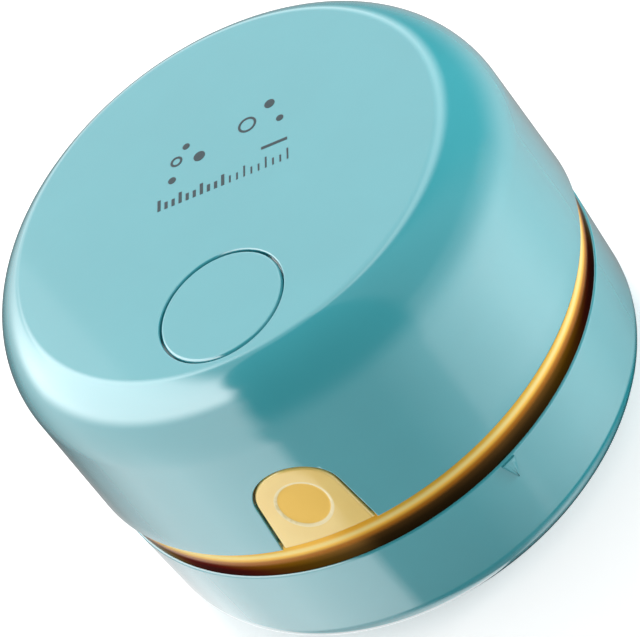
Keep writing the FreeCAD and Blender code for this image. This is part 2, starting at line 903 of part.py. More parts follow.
def board_posts():
    """Places of the four posts under the control board."""
    spots = []
    for side in (-1, 1):
        x = side * (board_width / 2 - board_post_inset)
        spots.append((x, -board_back - board_post_inset))
        spots.append((x, -board_front + board_post_inset))
    return spots


def make_deck():
    deck_r = edge_r - shell_wall - deck_gap - (deck_top_z - edge_z) * math.tan(draft)
    deck = disc(deck_r, deck_z, deck_top_z)
    half = deck_front_width / 2
    cuts = [
        block(-half, half, -edge_r, deck_front_inset - edge_r, deck_z - 1, deck_top_z + 1),
        disc(motor_nose_radius + motor_fit, deck_z - 1, deck_top_z + 1),
    ]
    extras = [disc(board_post_radius, deck_z, board_z, x, y) for x, y in board_posts()]
    post_y = charge_board_back - charge_board_depth + board_post_radius
    for side in (-1, 1):
        x = side * (charge_board_width / 2 - board_post_radius)
        extras.append(disc(board_post_radius, deck_z, charge_board_z, x, post_y))
        screw_x = side * motor_screw_offset
        cuts.append(disc(motor_head_radius + head_gap, deck_z - 1, motor_seat_z(), screw_x))
        cuts.append(disc(motor_screw_radius + screw_gap, deck_z, deck_top_z + 1, screw_x))
    for x, y in board_posts()[::3]:
        cuts.append(disc(board_screw_radius + screw_gap, board_z - board_screw_length, board_z + 1, x, y))
    for angle in case_screw_angles:
        x, y = around(angle, case_screw_circle)
        cuts.append(disc(case_screw_radius + screw_gap, deck_z - 1, deck_top_z + 1, x, y))
    return deck.multiFuse(extras).cut(cuts)


def motor_seat_z():
    """Where the heads of the motor's screws bear."""
    return deck_z + motor_head_height


def make_motor_screws():
    made = []
    for side in (-1, 1):
        made.append(screw(
            side * motor_screw_offset, 0, deck_z, motor_head_radius, motor_head_height,
            motor_screw_radius, motor_screw_length,
        ))
    return made


def make_motor_can():
    top = deck_top_z + motor_length
    nose_low = deck_top_z - motor_nose_length
    can = disc(motor_radius, deck_top_z, top).fuse(disc(motor_nose_radius, nose_low, deck_top_z))
    cuts = [
        disc(bush_radius + bush_fit, nose_low - 1, nose_low + bush_length),
        disc(shaft_radius + 2 * shaft_gap, nose_low, shaft_z + shaft_length + shaft_end_gap),
    ]
    hole_top = motor_seat_z() + motor_screw_length + shaft_end_gap
    for side in (-1, 1):
        screw_x = side * motor_screw_offset
        cuts.append(disc(motor_screw_radius + screw_gap, deck_top_z - 1, hole_top, screw_x))
    return can.cut(cuts)


def make_bush():
    low = deck_top_z - motor_nose_length
    return tube(shaft_radius + shaft_gap, bush_radius, low, low + bush_length)


def end_cap_z():
    return deck_top_z + motor_length


def make_end_cap():
    return disc(end_cap_radius, end_cap_z(), end_cap_z() + end_cap_height)


def make_terminals():
    low = end_cap_z() + end_cap_height
    made = []
    for side in (-1, 1):
        x0 = side * terminal_offset - terminal_width / 2
        near = -terminal_front
        far = near + terminal_length
        made.append(block(x0, x0 + terminal_width, near, far, low, low + terminal_height))
    return made


# Boards and what they carry

def make_control_board():
    board = block(-board_width / 2, board_width / 2, -board_front, -board_back, board_z, board_top_z)
    holes = []
    for x, y in board_posts()[::3]:
        holes.append(disc(board_screw_radius + screw_gap, board_z - 1, board_top_z + 1, x, y))
    return board.cut(holes)


def make_board_screws():
    """Two screws from above, through the board into its posts."""
    made = []
    for x, y in board_posts()[::3]:
        head = disc(board_head_radius, board_top_z, board_top_z + board_head_height, x, y)
        shank = disc(board_screw_radius, board_top_z - board_screw_length, board_top_z, x, y)
        made.append(head.fuse(shank))
    return made


def make_board_components():
    """The controller chip and the boost coil, soldered on the control board."""
    side_x = switch_side / 2 + chip_gap
    front = -button_offset - chip_front
    chip_top = board_top_z + chip_height
    chip = block(side_x, side_x + chip_side, front, front + chip_side, board_top_z, chip_top)
    coil_x = -side_x - coil_radius
    coil = disc(coil_radius, board_top_z, board_top_z + coil_height, coil_x, -button_offset - coil_front)
    return [chip, coil]


def switch_block(side, low, high):
    return block(-side / 2, side / 2, -button_offset - side / 2, -button_offset + side / 2, low, high)


def make_switch():
    body = switch_block(switch_side, board_top_z, switch_top_z)
    well_low = plunger_top_z - plunger_length - button_travel - plunger_spare
    return body.cut(switch_block(plunger_side + 2 * switch_fit, well_low, switch_top_z + 1))


def make_plunger():
    return switch_block(plunger_side, plunger_top_z - plunger_length, plunger_top_z)


def make_power_button():
    button = disc(button_radius, flange_z, top_z, 0, -button_offset)
    flange = disc(button_radius + button_flange, flange_z, flange_z + flange_thickness, 0, -button_offset)
    stem = disc(stem_radius, stem_z, flange_z, 0, -button_offset)
    return button.multiFuse([flange, stem])


def make_charge_board():
    near = charge_board_back - charge_board_depth
    half = charge_board_width / 2
    board = block(-half, half, near, charge_board_back, charge_board_z, charge_top_z)
    return board


def make_charge_chip():
    side = charge_chip_side
    low_y = charge_board_back - charge_board_depth + chip_gap
    return block(chip_gap, chip_gap + side, low_y, low_y + side, charge_top_z, charge_top_z + chip_height)


def socket_form(inset, near, far):
    """The rounded case of the charging socket as a bar along Y, drawn in by inset."""
    height = socket_height - 2 * inset
    reach = (socket_width - 2 * inset - height) / 2
    bar = block(-reach, reach, near, far, port_z - height / 2, port_z + height / 2)
    ends = [rod_along_y(height / 2, side * reach, port_z, near, far) for side in (-1, 1)]
    return bar.multiFuse(ends).removeSplitter()


def make_socket():
    far = charge_board_back + socket_out
    near = far - socket_depth
    case = socket_form(0, near, far)
    mouth = socket_form(socket_wall, near + 1, far + 1)
    tongue = block(
        -tongue_width / 2, tongue_width / 2, near + 0.5, far - 1,
        port_z - tongue_thickness / 2, port_z + tongue_thickness / 2,
    )
    return case.cut(mouth).fuse(tongue)


def make_charge_led():
    """The charge lamp: a holder on the board and a round light guide, flush with the shell."""
    side_r = edge_r - (port_z - edge_z) * math.tan(draft)
    face = math.sqrt(side_r ** 2 - led_offset ** 2)
    near = charge_board_back - led_holder_depth
    x0 = charge_board_width / 2 - led_holder
    holder = block(x0, x0 + led_holder, near, charge_board_back, charge_top_z, port_z + led_radius)
    return holder.fuse(rod_along_y(led_radius, led_offset, port_z, near + led_holder_depth / 2, face))


# Battery and leads

def battery_z():
    return deck_top_z + pad_thickness


def make_battery():
    half = battery_length / 2
    cell = block(battery_side, battery_far, -half, half, battery_z(), battery_z() + battery_height)
    long_edges = []
    for edge in cell.Edges:
        if abs(edge.tangentAt(edge.FirstParameter).y) > 0.9:
            long_edges.append(edge)
    return cell.makeFillet(battery_round, long_edges)


def make_battery_pad():
    half = battery_length / 2 - pad_inset
    return block(battery_side + pad_inset, battery_far - pad_inset, -half, half, deck_top_z, battery_z())


def make_battery_lead():
    """From the cell's end to the control board, one flat twin lead."""
    cell_middle = battery_z() + battery_height / 2
    end = -battery_length / 2
    low_y = end - battery_lead_run - lead_width
    x0 = battery_side + battery_lead_step
    x1 = x0 + lead_width
    top = board_top_z + lead_height
    drop = block(x0, x1, end - lead_width, end, min(cell_middle, board_top_z), max(cell_middle, top))
    along = block(x0, x1, low_y, end, board_top_z, top)
    across = block(board_width / 2 - lead_overlap, x1, low_y, low_y + lead_width, board_top_z, top)
    return drop.multiFuse([along, across])


def make_motor_lead():
    """Two leads from the terminals, over the can's edge, down its front and onto the control board."""
    low = end_cap_z() + end_cap_height
    near = -terminal_front
    front = -motor_radius - lead_height
    made = []
    for side in (-1, 1):
        x = side * terminal_offset
        x0 = x - lead_width / 2
        x1 = x + lead_width / 2
        over = block(x0, x1, front, near, low, low + lead_height)
        down = block(x0, x1, front, front + lead_height, board_top_z, low + lead_height)
        foot_y = -board_back - lead_overlap
        foot = block(x0, x1, foot_y, front + lead_height, board_top_z, board_top_z + lead_height)
        made.append(over.multiFuse([down, foot]))
    return made


def make_charge_lead():
    """From the charging board, past the motor's -X side, up to the control board's edge."""
    x0 = -motor_radius - board_gap - 2 * lead_width
    x1 = x0 + lead_width
    back = charge_board_back - charge_board_depth
    pad_x = lead_width - charge_board_width / 2
    front = -board_back - board_lead_y
    board_edge = -board_width / 2 + 1
    top = charge_top_z + lead_height
    start = block(x0, pad_x, back - lead_width, back, charge_top_z, top)
    pad = block(pad_x - lead_width, pad_x, back - lead_width, back + lead_overlap, charge_top_z, top)
    along = block(x0, x1, front, back, charge_top_z, top)
    low = min(charge_top_z, board_z - lead_height)
    high = max(top, board_z)
    up = block(x0, x1, front, front + lead_width, low, high)
    across = block(x0, board_edge, front, front + lead_width, board_z - lead_height, board_z)
    return start.multiFuse([pad, along, up, across])


# Release tab and latch arm

def make_release_tab():
    """A tab flush with the shell, a flange that keeps it in and a pusher for the latch arm."""
    outside = shell_form()
    low = edge_z + tab_gap
    plate = tab_prism(0, low, -edge_r - 1, -edge_r / 2)
    plate = plate.common(outside).cut(shell_hollow(shell_wall + tab_flange_gap + tab_flange_wall))
    keeper = tab_prism(tab_gap + tab_flange, low, -edge_r - 1, -edge_r / 2)
    keeper = keeper.common(shell_hollow(shell_wall + tab_flange_gap))
    keeper = keeper.cut(shell_hollow(shell_wall + tab_flange_gap + tab_flange_wall))
    push_low = edge_z + pusher_rise
    push_start = -(edge_r - shell_wall - tab_flange_gap)
    push_end = -(arm_face + pusher_gap)
    half = pusher_width / 2
    pusher = block(-half, half, push_start, push_end, push_low, push_low + pusher_height)
    dimple = Part.makeCone(
        dimple_radius + dimple_rim, dimple_radius, dimple_depth,
        V(0, -edge_r + (dimple_height * math.tan(draft)), edge_z + dimple_height), V(0, 1, 0),
    )
    return plate.multiFuse([keeper, pusher]).cut(dimple)


def make_latch_arm():
    """A springy arm: its block is staked under the deck, and its nose hooks under the cup's catch."""
    low = rim_z - arm_below_rim
    inner = -(arm_face - arm_thickness)
    half = arm_width / 2
    arm = block(-half, half, -arm_face, inner, low, deck_z)
    anchor = block(-half, half, -arm_face, arm_anchor_depth - arm_face, deck_z - arm_anchor_height, deck_z)
    nose_top = catch_z - nose_gap
    nose_low = nose_top - nose_height
    nose_face = -(catch_r + nose_overlap)
    corners = [
        V(-arm_width / 2, -arm_face, nose_low),
        V(-arm_width / 2, nose_face, nose_top - nose_height * 0.3),
        V(-arm_width / 2, nose_face, nose_top),
        V(-arm_width / 2, -arm_face, nose_top),
    ]
    edges = [line(a, b) for a, b in zip(corners, corners[1:] + corners[:1])]
    nose = Part.Face(Part.Wire(edges)).extrude(V(arm_width, 0, 0))
    return arm.multiFuse([anchor, nose])


save("top_shell", [make_top_shell()])
save("trim_ring", [make_trim_ring()])
save("cup_seal", [make_cup_seal()])
save("dust_cup", [make_dust_cup()])
save("brush_plate", [make_brush_plate()])
save("brush_plate_screws", make_plate_screws())
save("front_brush", [make_brush(-1)])
save("rear_brush", [make_brush(1)])
save("glide_feet", make_feet())
save("fan_cover", [make_fan_cover()])
save("case_screws", make_case_screws())
save("impeller", [make_impeller()])
save("motor_shaft", [make_shaft()])
save("filter_frame", [make_filter_frame()])
save("filter_mesh", [make_filter_mesh()])
save("filter_seal", [make_filter_seal()])
save("motor_deck", [make_deck()])
save("motor_can", [make_motor_can()])
save("motor_end_cap", [make_end_cap()])
save("motor_terminals", make_terminals())
save("shaft_bush", [make_bush()])
save("motor_screws", make_motor_screws())
save("control_board", [make_control_board()])
save("board_screws", make_board_screws())
save("board_components", make_board_components())
save("power_switch", [make_switch()])
save("switch_plunger", [make_plunger()])
save("power_button", [make_power_button()])
save("charge_board", [make_charge_board()])
save("charge_chip", [make_charge_chip()])
save("charge_socket", [make_socket()])
save("charge_led", [make_charge_led()])
save("battery", [make_battery()])
save("battery_pad", [make_battery_pad()])
save("battery_lead", [make_battery_lead()])
save("motor_lead", make_motor_lead())
save("charge_lead", [make_charge_lead()])
save("release_tab", [make_release_tab()])
save("latch_arm", [make_latch_arm()])
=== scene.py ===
import bpy
import math
import random
from mathutils import Matrix, Vector


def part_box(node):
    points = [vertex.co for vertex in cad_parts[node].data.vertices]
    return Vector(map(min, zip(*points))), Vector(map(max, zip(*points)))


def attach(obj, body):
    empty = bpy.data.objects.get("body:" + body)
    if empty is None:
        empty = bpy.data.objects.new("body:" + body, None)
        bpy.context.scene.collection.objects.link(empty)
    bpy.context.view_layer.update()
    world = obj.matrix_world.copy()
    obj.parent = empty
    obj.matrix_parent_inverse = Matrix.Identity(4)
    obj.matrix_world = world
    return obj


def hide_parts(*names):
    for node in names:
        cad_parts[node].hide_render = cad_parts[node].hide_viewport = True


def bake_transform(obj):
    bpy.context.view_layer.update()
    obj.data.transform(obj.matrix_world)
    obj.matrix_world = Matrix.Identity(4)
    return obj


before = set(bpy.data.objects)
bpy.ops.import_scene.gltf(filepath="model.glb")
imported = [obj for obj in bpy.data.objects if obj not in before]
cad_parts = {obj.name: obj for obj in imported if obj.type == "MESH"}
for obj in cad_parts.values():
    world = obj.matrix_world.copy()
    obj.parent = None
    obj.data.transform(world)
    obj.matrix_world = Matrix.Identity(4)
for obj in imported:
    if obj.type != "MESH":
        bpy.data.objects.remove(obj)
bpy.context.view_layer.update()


# Dust cup. A thin moulded bowl in teal plastic, open at the top, with a recess underneath for the
# brush plate, a low chimney round the suction mouth and four screw bosses. It is moulded in one
# shot, polished outside, and it catches what the brushes and the fan lift off the table.

mm = 0.001
cup_low = 1.0
cup_rim = 21.0
rim_r = 41.44
cup_draft = math.radians(0.7)
cup_corner = 5.9
cup_wall = 2.0
side_middle = 14.0
edge_round = 0.4  # of the rim outside and of the recess at its mouth
inner_round = 0.3
floor_round = 3.5
plate_recess_r = 30.3
plate_top = 5.1
plateau_top = 6.7
slope_foot = 3.2  # the inner floor climbs to the plateau between these two, outside the recess
slope_top = 1.6
slope_foot_round = 1.5
slope_top_round = 0.8
chimney_length = 34.0
chimney_width = 8.0
chimney_wall = 1.4
chimney_top = 9.5
plate_screw_angles = (45, 135, 225, 315)
plate_screw_circle = 25.0
boss_r = 2.6
boss_top = 9.3
pilot_r = 0.85
pilot_top = 8.8
rooted_low = 6.0  # inside the floor, where the chimney and the bosses are rooted
moulded_round = 0.25
past = 1.0  # how far a cutter runs past what it cuts


def pick(piece):
    """Select one piece alone, and make it the active one."""
    bpy.ops.object.select_all(action="DESELECT")
    bpy.context.view_layer.objects.active = piece
    piece.select_set(True)


def edit(piece, mode="VERT"):
    """Enter edit mode on one piece with nothing selected."""
    pick(piece)
    bpy.ops.object.mode_set(mode="EDIT")
    bpy.ops.mesh.select_mode(type=mode)
    bpy.ops.mesh.select_all(action="DESELECT")


def leave_edit():
    """Go back to object mode, which writes the edits to the mesh."""
    bpy.ops.object.mode_set(mode="OBJECT")


def select_spots(piece, test):
    """In edit mode, select only the vertices whose place in millimetres passes the test."""
    leave_edit()
    for item in list(piece.data.edges) + list(piece.data.polygons):
        item.select = False
    for vertex in piece.data.vertices:
        vertex.select = test(vertex.co / mm)
    bpy.ops.object.mode_set(mode="EDIT")


def new_piece(name):
    """Take the primitive that was just added, and put its place into its mesh."""
    piece = bpy.context.object
    piece.name = name
    piece.data.name = name
    bpy.ops.object.transform_apply(location=True, rotation=True, scale=True)
    return piece


def arc(centre, radius, start, end, steps):
    """Points on an arc of a profile, between two slopes in radians from the outward direction."""
    spots = []
    for step in range(steps + 1):
        angle = start + (end - start) * step / steps
        spots.append((centre[0] + radius * math.cos(angle), centre[1] + radius * math.sin(angle)))
    return spots


def fillets(corners, facet=9):
    """Turn (radius, height, rounding) corners into a chain with an arc of facets at each rounding."""
    chain = []
    last = len(corners) - 1
    for index, (radius, height, rounding) in enumerate(corners):
        if rounding == 0 or index in (0, last):
            chain.append((radius, height))
            continue
        here = Vector((radius, height))
        before = (Vector(corners[index - 1][:2]) - here).normalized()
        after = (Vector(corners[index + 1][:2]) - here).normalized()
        half = before.angle(after) / 2
        centre = here + (before + after).normalized() * (rounding / math.sin(half))
        first = here + before * (rounding / math.tan(half)) - centre
        final = here + after * (rounding / math.tan(half)) - centre
        start = math.atan2(first.y, first.x)
        turn = (math.atan2(final.y, final.x) - start + math.pi) % math.tau - math.pi
        steps = max(2, round(abs(turn) / math.radians(facet)))
        chain += arc(centre, rounding, start, start + turn, steps)
    return chain


def merge_and_face_out():
    """Merge doubles, then turn all faces outwards."""
    bpy.ops.mesh.select_all(action="SELECT")
    bpy.ops.mesh.remove_doubles(threshold=0.01 * mm)
    bpy.ops.mesh.normals_make_consistent(inside=False)


def draw(name, path):
    """Draw a chain of vertices in the plane of X and Z, and stay in edit mode with all selected."""
    bpy.ops.object.select_all(action="DESELECT")
    bpy.ops.mesh.primitive_plane_add(size=mm, location=(path[0][0] * mm, 0, path[0][1] * mm))
    piece = new_piece(name)
    edit(piece)
    bpy.ops.mesh.select_all(action="SELECT")
    bpy.ops.mesh.merge(type="CENTER")
    for a, b in zip(path, path[1:]):
        step = ((b[0] - a[0]) * mm, 0, (b[1] - a[1]) * mm)
        bpy.ops.mesh.extrude_region_move(TRANSFORM_OT_translate={"value": step})
    bpy.ops.mesh.select_all(action="SELECT")
    return piece


def turned(name, chain, steps=240, closed=False, at=(0, 0)):
    """Draw a profile and spin it round an upright line."""
    piece = draw(name, chain + [chain[0]] if closed else chain)
    bpy.ops.mesh.spin(steps=steps, angle=math.tau, center=(0, 0, 0), axis=(0, 0, 1))
    merge_and_face_out()
    leave_edit()
    if at != (0, 0):
        move(piece, (at[0], at[1], 0))
    return piece


def move(piece, by):
    """Shift a whole piece by millimetres, in its mesh."""
    edit(piece)
    bpy.ops.mesh.select_all(action="SELECT")
    bpy.ops.transform.translate(value=[value * mm for value in by])
    leave_edit()


def join(pieces, name):
    """Make one mesh of several."""
    bpy.ops.object.select_all(action="DESELECT")
    for piece in pieces:
        piece.select_set(True)
    bpy.context.view_layer.objects.active = pieces[0]
    bpy.ops.object.join()
    pieces[0].name = name
    return pieces[0]


def apply_modifier(piece, kind, **settings):
    """Add a modifier with its settings, and apply it to the mesh."""
    pick(piece)
    bpy.ops.object.modifier_add(type=kind)
    modifier = piece.modifiers[-1]
    for name, value in settings.items():
        setattr(modifier, name, value)
    bpy.ops.object.modifier_apply(modifier=modifier.name)


def combine(piece, other, operation):
    """Add, cut or intersect with another piece, which is used up."""
    apply_modifier(piece, "BOOLEAN", object=other, operation=operation, solver="EXACT")
    bpy.data.objects.remove(other, do_unlink=True)


def round_edges(piece, width, test, segments=3, sharp=40):
    """Bevel the sharp edges whose middle passes the test."""
    edit(piece, "EDGE")
    bpy.ops.mesh.edges_select_sharp(sharpness=math.radians(sharp))
    leave_edit()
    mesh = piece.data
    for item in list(mesh.vertices) + list(mesh.polygons):
        item.select = False
    for edge in mesh.edges:
        if edge.select:
            ends = [mesh.vertices[index].co for index in edge.vertices]
            edge.select = test((ends[0] + ends[1]) / 2 / mm)
    bpy.ops.object.mode_set(mode="EDIT")
    bpy.ops.mesh.bevel(offset=width * mm, segments=segments, affect="EDGES")
    leave_edit()


def smooth(piece, degrees=35):
    """Smooth shading between the sharp edges, with flat faces kept flat beside their roundings."""
    pick(piece)
    bpy.ops.object.shade_smooth_by_angle(angle=math.radians(degrees))
    apply_modifier(piece, "WEIGHTED_NORMAL", keep_sharp=True, weight=50)


def cylinder(name, radius, low, high, at=(0, 0), sides=48):
    """A round bar between two heights."""
    bpy.ops.object.select_all(action="DESELECT")
    middle = (at[0] * mm, at[1] * mm, (low + high) / 2 * mm)
    bpy.ops.mesh.primitive_cylinder_add(
        vertices=sides, radius=radius * mm, depth=(high - low) * mm, location=middle,
    )
    return new_piece(name)


def stadium(name, length, width, low, high, sides=64):
    """A round bar pulled apart in the middle, so that it has round ends."""
    piece = cylinder(name, width / 2, low, high, sides=sides)
    reach = (length - width) / 2
    for side in (-1, 1):
        edit(piece)
        select_spots(piece, lambda spot: spot.x * side > 0.0001)
        bpy.ops.transform.translate(value=(side * reach * mm, 0, 0))
        leave_edit()
    return piece


def around(angle, radius):
    """A place on a circle, by its angle from the front towards +X."""
    turned_by = math.radians(angle)
    return radius * math.sin(turned_by), -radius * math.cos(turned_by)


class Socket:
    """A value or colour in a material, used in plain formulas."""

    def __init__(self, tree, output):
        self.tree = tree
        self.output = output

    def node(self, kind, inputs=None, out=0, stops=None, **settings):
        """Any node: its settings first, then the values or links of its sockets."""
        made = self.tree.nodes.new(kind)
        for name, value in settings.items():
            setattr(made, name, value)
        if stops:
            ramp = made.color_ramp
            while len(ramp.elements) < len(stops):
                ramp.elements.new(0.5)
            for element, (spot, level) in zip(ramp.elements, stops):
                element.position = spot
                element.color = (level, level, level, 1)
        for name, value in (inputs or {}).items():
            if isinstance(value, Socket):
                self.tree.links.new(value.output, made.inputs[name])
            else:
                made.inputs[name].default_value = value
        return Socket(self.tree, made.outputs[out])

    def math(self, operation, first, second=0.0):
        """A Math node by its operation's name."""
        return self.node("ShaderNodeMath", {0: first, 1: second}, operation=operation)

    def __add__(self, other):
        return self.math("ADD", self, other)

    __radd__ = __add__

    def __sub__(self, other):
        return self.math("SUBTRACT", self, other)

    def __rsub__(self, other):
        return self.math("SUBTRACT", other, self)

    def __mul__(self, other):
        return self.math("MULTIPLY", self, other)

    __rmul__ = __mul__

    def __truediv__(self, other):
        return self.math("DIVIDE", self, other)

    def between(self, low, high):
        """0 at low, 1 at high and smooth in between. With low above high it falls."""
        return self.node(
            "ShaderNodeMapRange", {"Value": self, "From Min": low, "From Max": high},
            interpolation_type="SMOOTHSTEP",
        )

    def mix(self, first, second):
        """A colour between two, with this value as the share of the second."""
        return self.node("ShaderNodeMix", {0: self, 6: first, 7: second}, out=2, data_type="RGBA")

    def axis(self, name):
        """One coordinate of a vector."""
        return self.node("ShaderNodeSeparateXYZ", {0: self}, out="XYZ".index(name))

    def feed(self, node, name):
        """Link this value to a node's socket."""
        self.tree.links.new(self.output, node.inputs[name])


def tone(red, green, blue):
    """A colour given in screen values from 0 to 255, as the shader wants it."""
    linear = []
    for value in (red, green, blue):
        share = value / 255
        linear.append(share / 12.92 if share <= 0.04045 else ((share + 0.055) / 1.055) ** 2.4)
    return (*linear, 1)


def new_finish(name, **constants):
    """A material with its shader, and the object coordinates to draw patterns from."""
    material = bpy.data.materials.new(name)
    material.use_nodes = True
    shader = material.node_tree.nodes["Principled BSDF"]
    for socket, value in constants.items():
        shader.inputs[socket.replace("_", " ")].default_value = value
    coordinates = material.node_tree.nodes.new("ShaderNodeTexCoord")
    return material, shader, Socket(material.node_tree, coordinates.outputs["Object"])


def noise(place, scale, detail=3.0):
    """Cloudy noise with so many features to the metre."""
    return place.node("ShaderNodeTexNoise", {"Vector": place, "Scale": scale, "Detail": detail})


def clouds(place, scale, first, second):
    """A colour that drifts between two in soft clouds."""
    return noise(place, scale).between(0.3, 0.7).mix(first, second)


def bump(height, strength, depth):
    """A bump of so many millimetres."""
    return height.node(
        "ShaderNodeBump", {"Height": height, "Strength": strength, "Distance": depth * mm},
    )


def teal_finish(name, mottle):
    """Glossy moulded plastic under a clear lacquer: a faint mottle, haze and a soft orange peel."""
    material, shader, place = new_finish(
        name, IOR=1.7, Coat_Weight=1.0, Coat_Roughness=0.045, Coat_IOR=1.9,
    )
    clouds(place, 60, teal, mottle).feed(shader, "Base Color")
    (noise(place, 900) * 0.05 + 0.12).feed(shader, "Roughness")
    bump(noise(place, 500, detail=1.0), 0.04, 0.015).feed(shader, "Normal")
    return material


def show(piece, body, material, slot, *nodes):
    """Finish a piece: its material, the body it moves with and the nodes it stands for. The slot is not
    used.
    """
    piece.data.materials.clear()
    piece.data.materials.append(material)
    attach(piece, body)
    if nodes:
        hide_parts(*nodes)


def cup_side(height):
    """The cup's outer radius at a height."""
    return rim_r - (cup_rim - height) * math.tan(cup_draft)


teal = tone(70, 170, 181)
teal_mottle = tone(68, 167, 178)
cup_teal = teal_finish("cup_teal", teal_mottle)
corner_z = cup_low + cup_corner
cup_bowl = turned("cup_bowl", fillets([
    (0, plate_top, 0),
    (plate_recess_r, plate_top, inner_round),
    (plate_recess_r, cup_low, edge_round),
    (cup_side(cup_low), cup_low, cup_corner),
    (cup_side(side_middle), side_middle, 0),
    (rim_r, cup_rim, edge_round),
    (rim_r - cup_wall, cup_rim, inner_round),
    (cup_side(corner_z) - cup_wall, cup_low + cup_wall, floor_round),
    (plate_recess_r + slope_foot, cup_low + cup_wall, slope_foot_round),
    (plate_recess_r + slope_top, plateau_top, slope_top_round),
    (0, plateau_top, 0),
]), steps=288)
chimney = stadium(
    "chimney", chimney_length + 2 * chimney_wall, chimney_width + 2 * chimney_wall, rooted_low, chimney_top,
)
added = [chimney]
cup_cuts = [stadium("mouth", chimney_length, chimney_width, 0, chimney_top + past)]
for angle in plate_screw_angles:
    spot = around(angle, plate_screw_circle)
    added.append(cylinder("boss", boss_r, rooted_low, boss_top, at=spot))
    cup_cuts.append(cylinder("pilot", pilot_r, 0, pilot_top, at=spot, sides=24))
combine(cup_bowl, join(added, "cup_extras"), "UNION")
combine(cup_bowl, join(cup_cuts, "cup_cuts"), "DIFFERENCE")
over_pilots = (pilot_top + boss_top) / 2
round_edges(
    cup_bowl, moulded_round, lambda spot: spot.z > over_pilots and spot.xy.length < plate_recess_r,
    segments=2,
)
smooth(cup_bowl)
show(cup_bowl, "base", cup_teal, "teal_shell", "dust_cup")


# Catch and raised mark. The catch is a small ledge inside the cup's rim that the latch's nose hooks
# under. The mark outside is a wedge with its point down, which shows how the cup goes on. Both are
# moulded with the cup, in its plastic.

edge_r = 42.0  # the shell's lower edge, and the radius that the other pieces step in from
catch_inner_r = 37.64
catch_low = 19.6
catch_top = 20.8
catch_half = 5.0
catch_round = 0.2
mark_angle = 36.2
mark_width = 2.5
mark_height = 3.6
mark_top = 20.6
mark_proud = 0.4
mark_low = mark_top - mark_height
mark_point = 0.02  # the share of its width that the mark keeps at its point
mark_round = 0.12
root = 0.5  # how deep a moulded-on form is rooted in the wall
play = 0.1  # for finding a spot by its place
wall_r = rim_r - cup_wall + root


def box(name, x0, x1, y0, y1, z0, z1):
    """A plain block between two places on each axis."""
    bpy.ops.object.select_all(action="DESELECT")
    middle = ((x0 + x1) / 2 * mm, (y0 + y1) / 2 * mm, (z0 + z1) / 2 * mm)
    size = ((x1 - x0) * mm, (y1 - y0) * mm, (z1 - z0) * mm)
    bpy.ops.mesh.primitive_cube_add(size=1, location=middle, scale=size)
    return new_piece(name)


def turn_round(piece, degrees, axis="Z", centre=(0, 0, 0)):
    """Turn a whole piece about an axis, in its mesh. With no window the operator turns backwards."""
    edit(piece)
    bpy.ops.mesh.select_all(action="SELECT")
    middle = [value * mm for value in centre]
    bpy.ops.transform.rotate(value=-math.radians(degrees), orient_axis=axis, center_override=middle)
    leave_edit()


cup_catch = turned("cup_catch", [
    (catch_inner_r, catch_low), (wall_r, catch_low), (wall_r, catch_top), (catch_inner_r, catch_top),
], closed=True)
catch_room = box(
    "catch_room", -catch_half, catch_half, -edge_r, 0, catch_low - past, catch_top + past,
)
combine(cup_catch, catch_room, "INTERSECT")
cup_mark = turned("cup_mark", [
    (cup_side(mark_low) - root, mark_low),
    (cup_side(mark_low) + mark_proud, mark_low),
    (cup_side(mark_top) + mark_proud, mark_top),
    (cup_side(mark_top) - root, mark_top),
], steps=720, closed=True)
wedge = box(
    "wedge", -mark_width / 2, mark_width / 2, -edge_r - past, -edge_r / 2, mark_low, mark_top,
)
edit(wedge)
select_spots(wedge, lambda spot: spot.z < mark_top - play)
bpy.ops.transform.resize(value=(mark_point, 1, 1), center_override=(0, 0, 0))
leave_edit()
combine(cup_mark, wedge, "INTERSECT")
turn_round(cup_mark, mark_angle)
for form, width in ((cup_catch, catch_round), (cup_mark, mark_round)):
    round_edges(form, width, lambda spot: True, segments=2)
    smooth(form)
    show(form, "base", cup_teal, "teal_shell")


# Brush plate. A light grey disc screwed up into the cup's recess, with a shallow well for the two
# brushes, the suction mouth through its middle and seats for four feet. Moulded with a fine grain.

plate_r = 30.0
plate_round = 0.5
well_length = 42.0
well_width = 22.0
well_top = 3.8
well_corner = 4.0
mouth_margin = 1.0  # all round the cup's mouth
screw_seat_r = 2.2
screw_seat_top = 2.5
foot_angles = (0, 90, 180, 270)
foot_circle = 25.3
foot_r = 3.5
foot_top = 1.8
foot_gap = 0.1


def grained_finish(name, colour, rough, grain=0.04):
    """Plain moulded plastic with a fine spark-eroded grain."""
    material, shader, place = new_finish(name, IOR=1.5)
    darker = [share * 0.93 for share in colour[:3]] + [1]
    clouds(place, 90, colour, darker).feed(shader, "Base Color")
    (noise(place, 1800) * 0.16 + (rough - 0.08)).feed(shader, "Roughness")
    bump(noise(place, 4200, detail=2.0), 0.35, grain).feed(shader, "Normal")
    return material


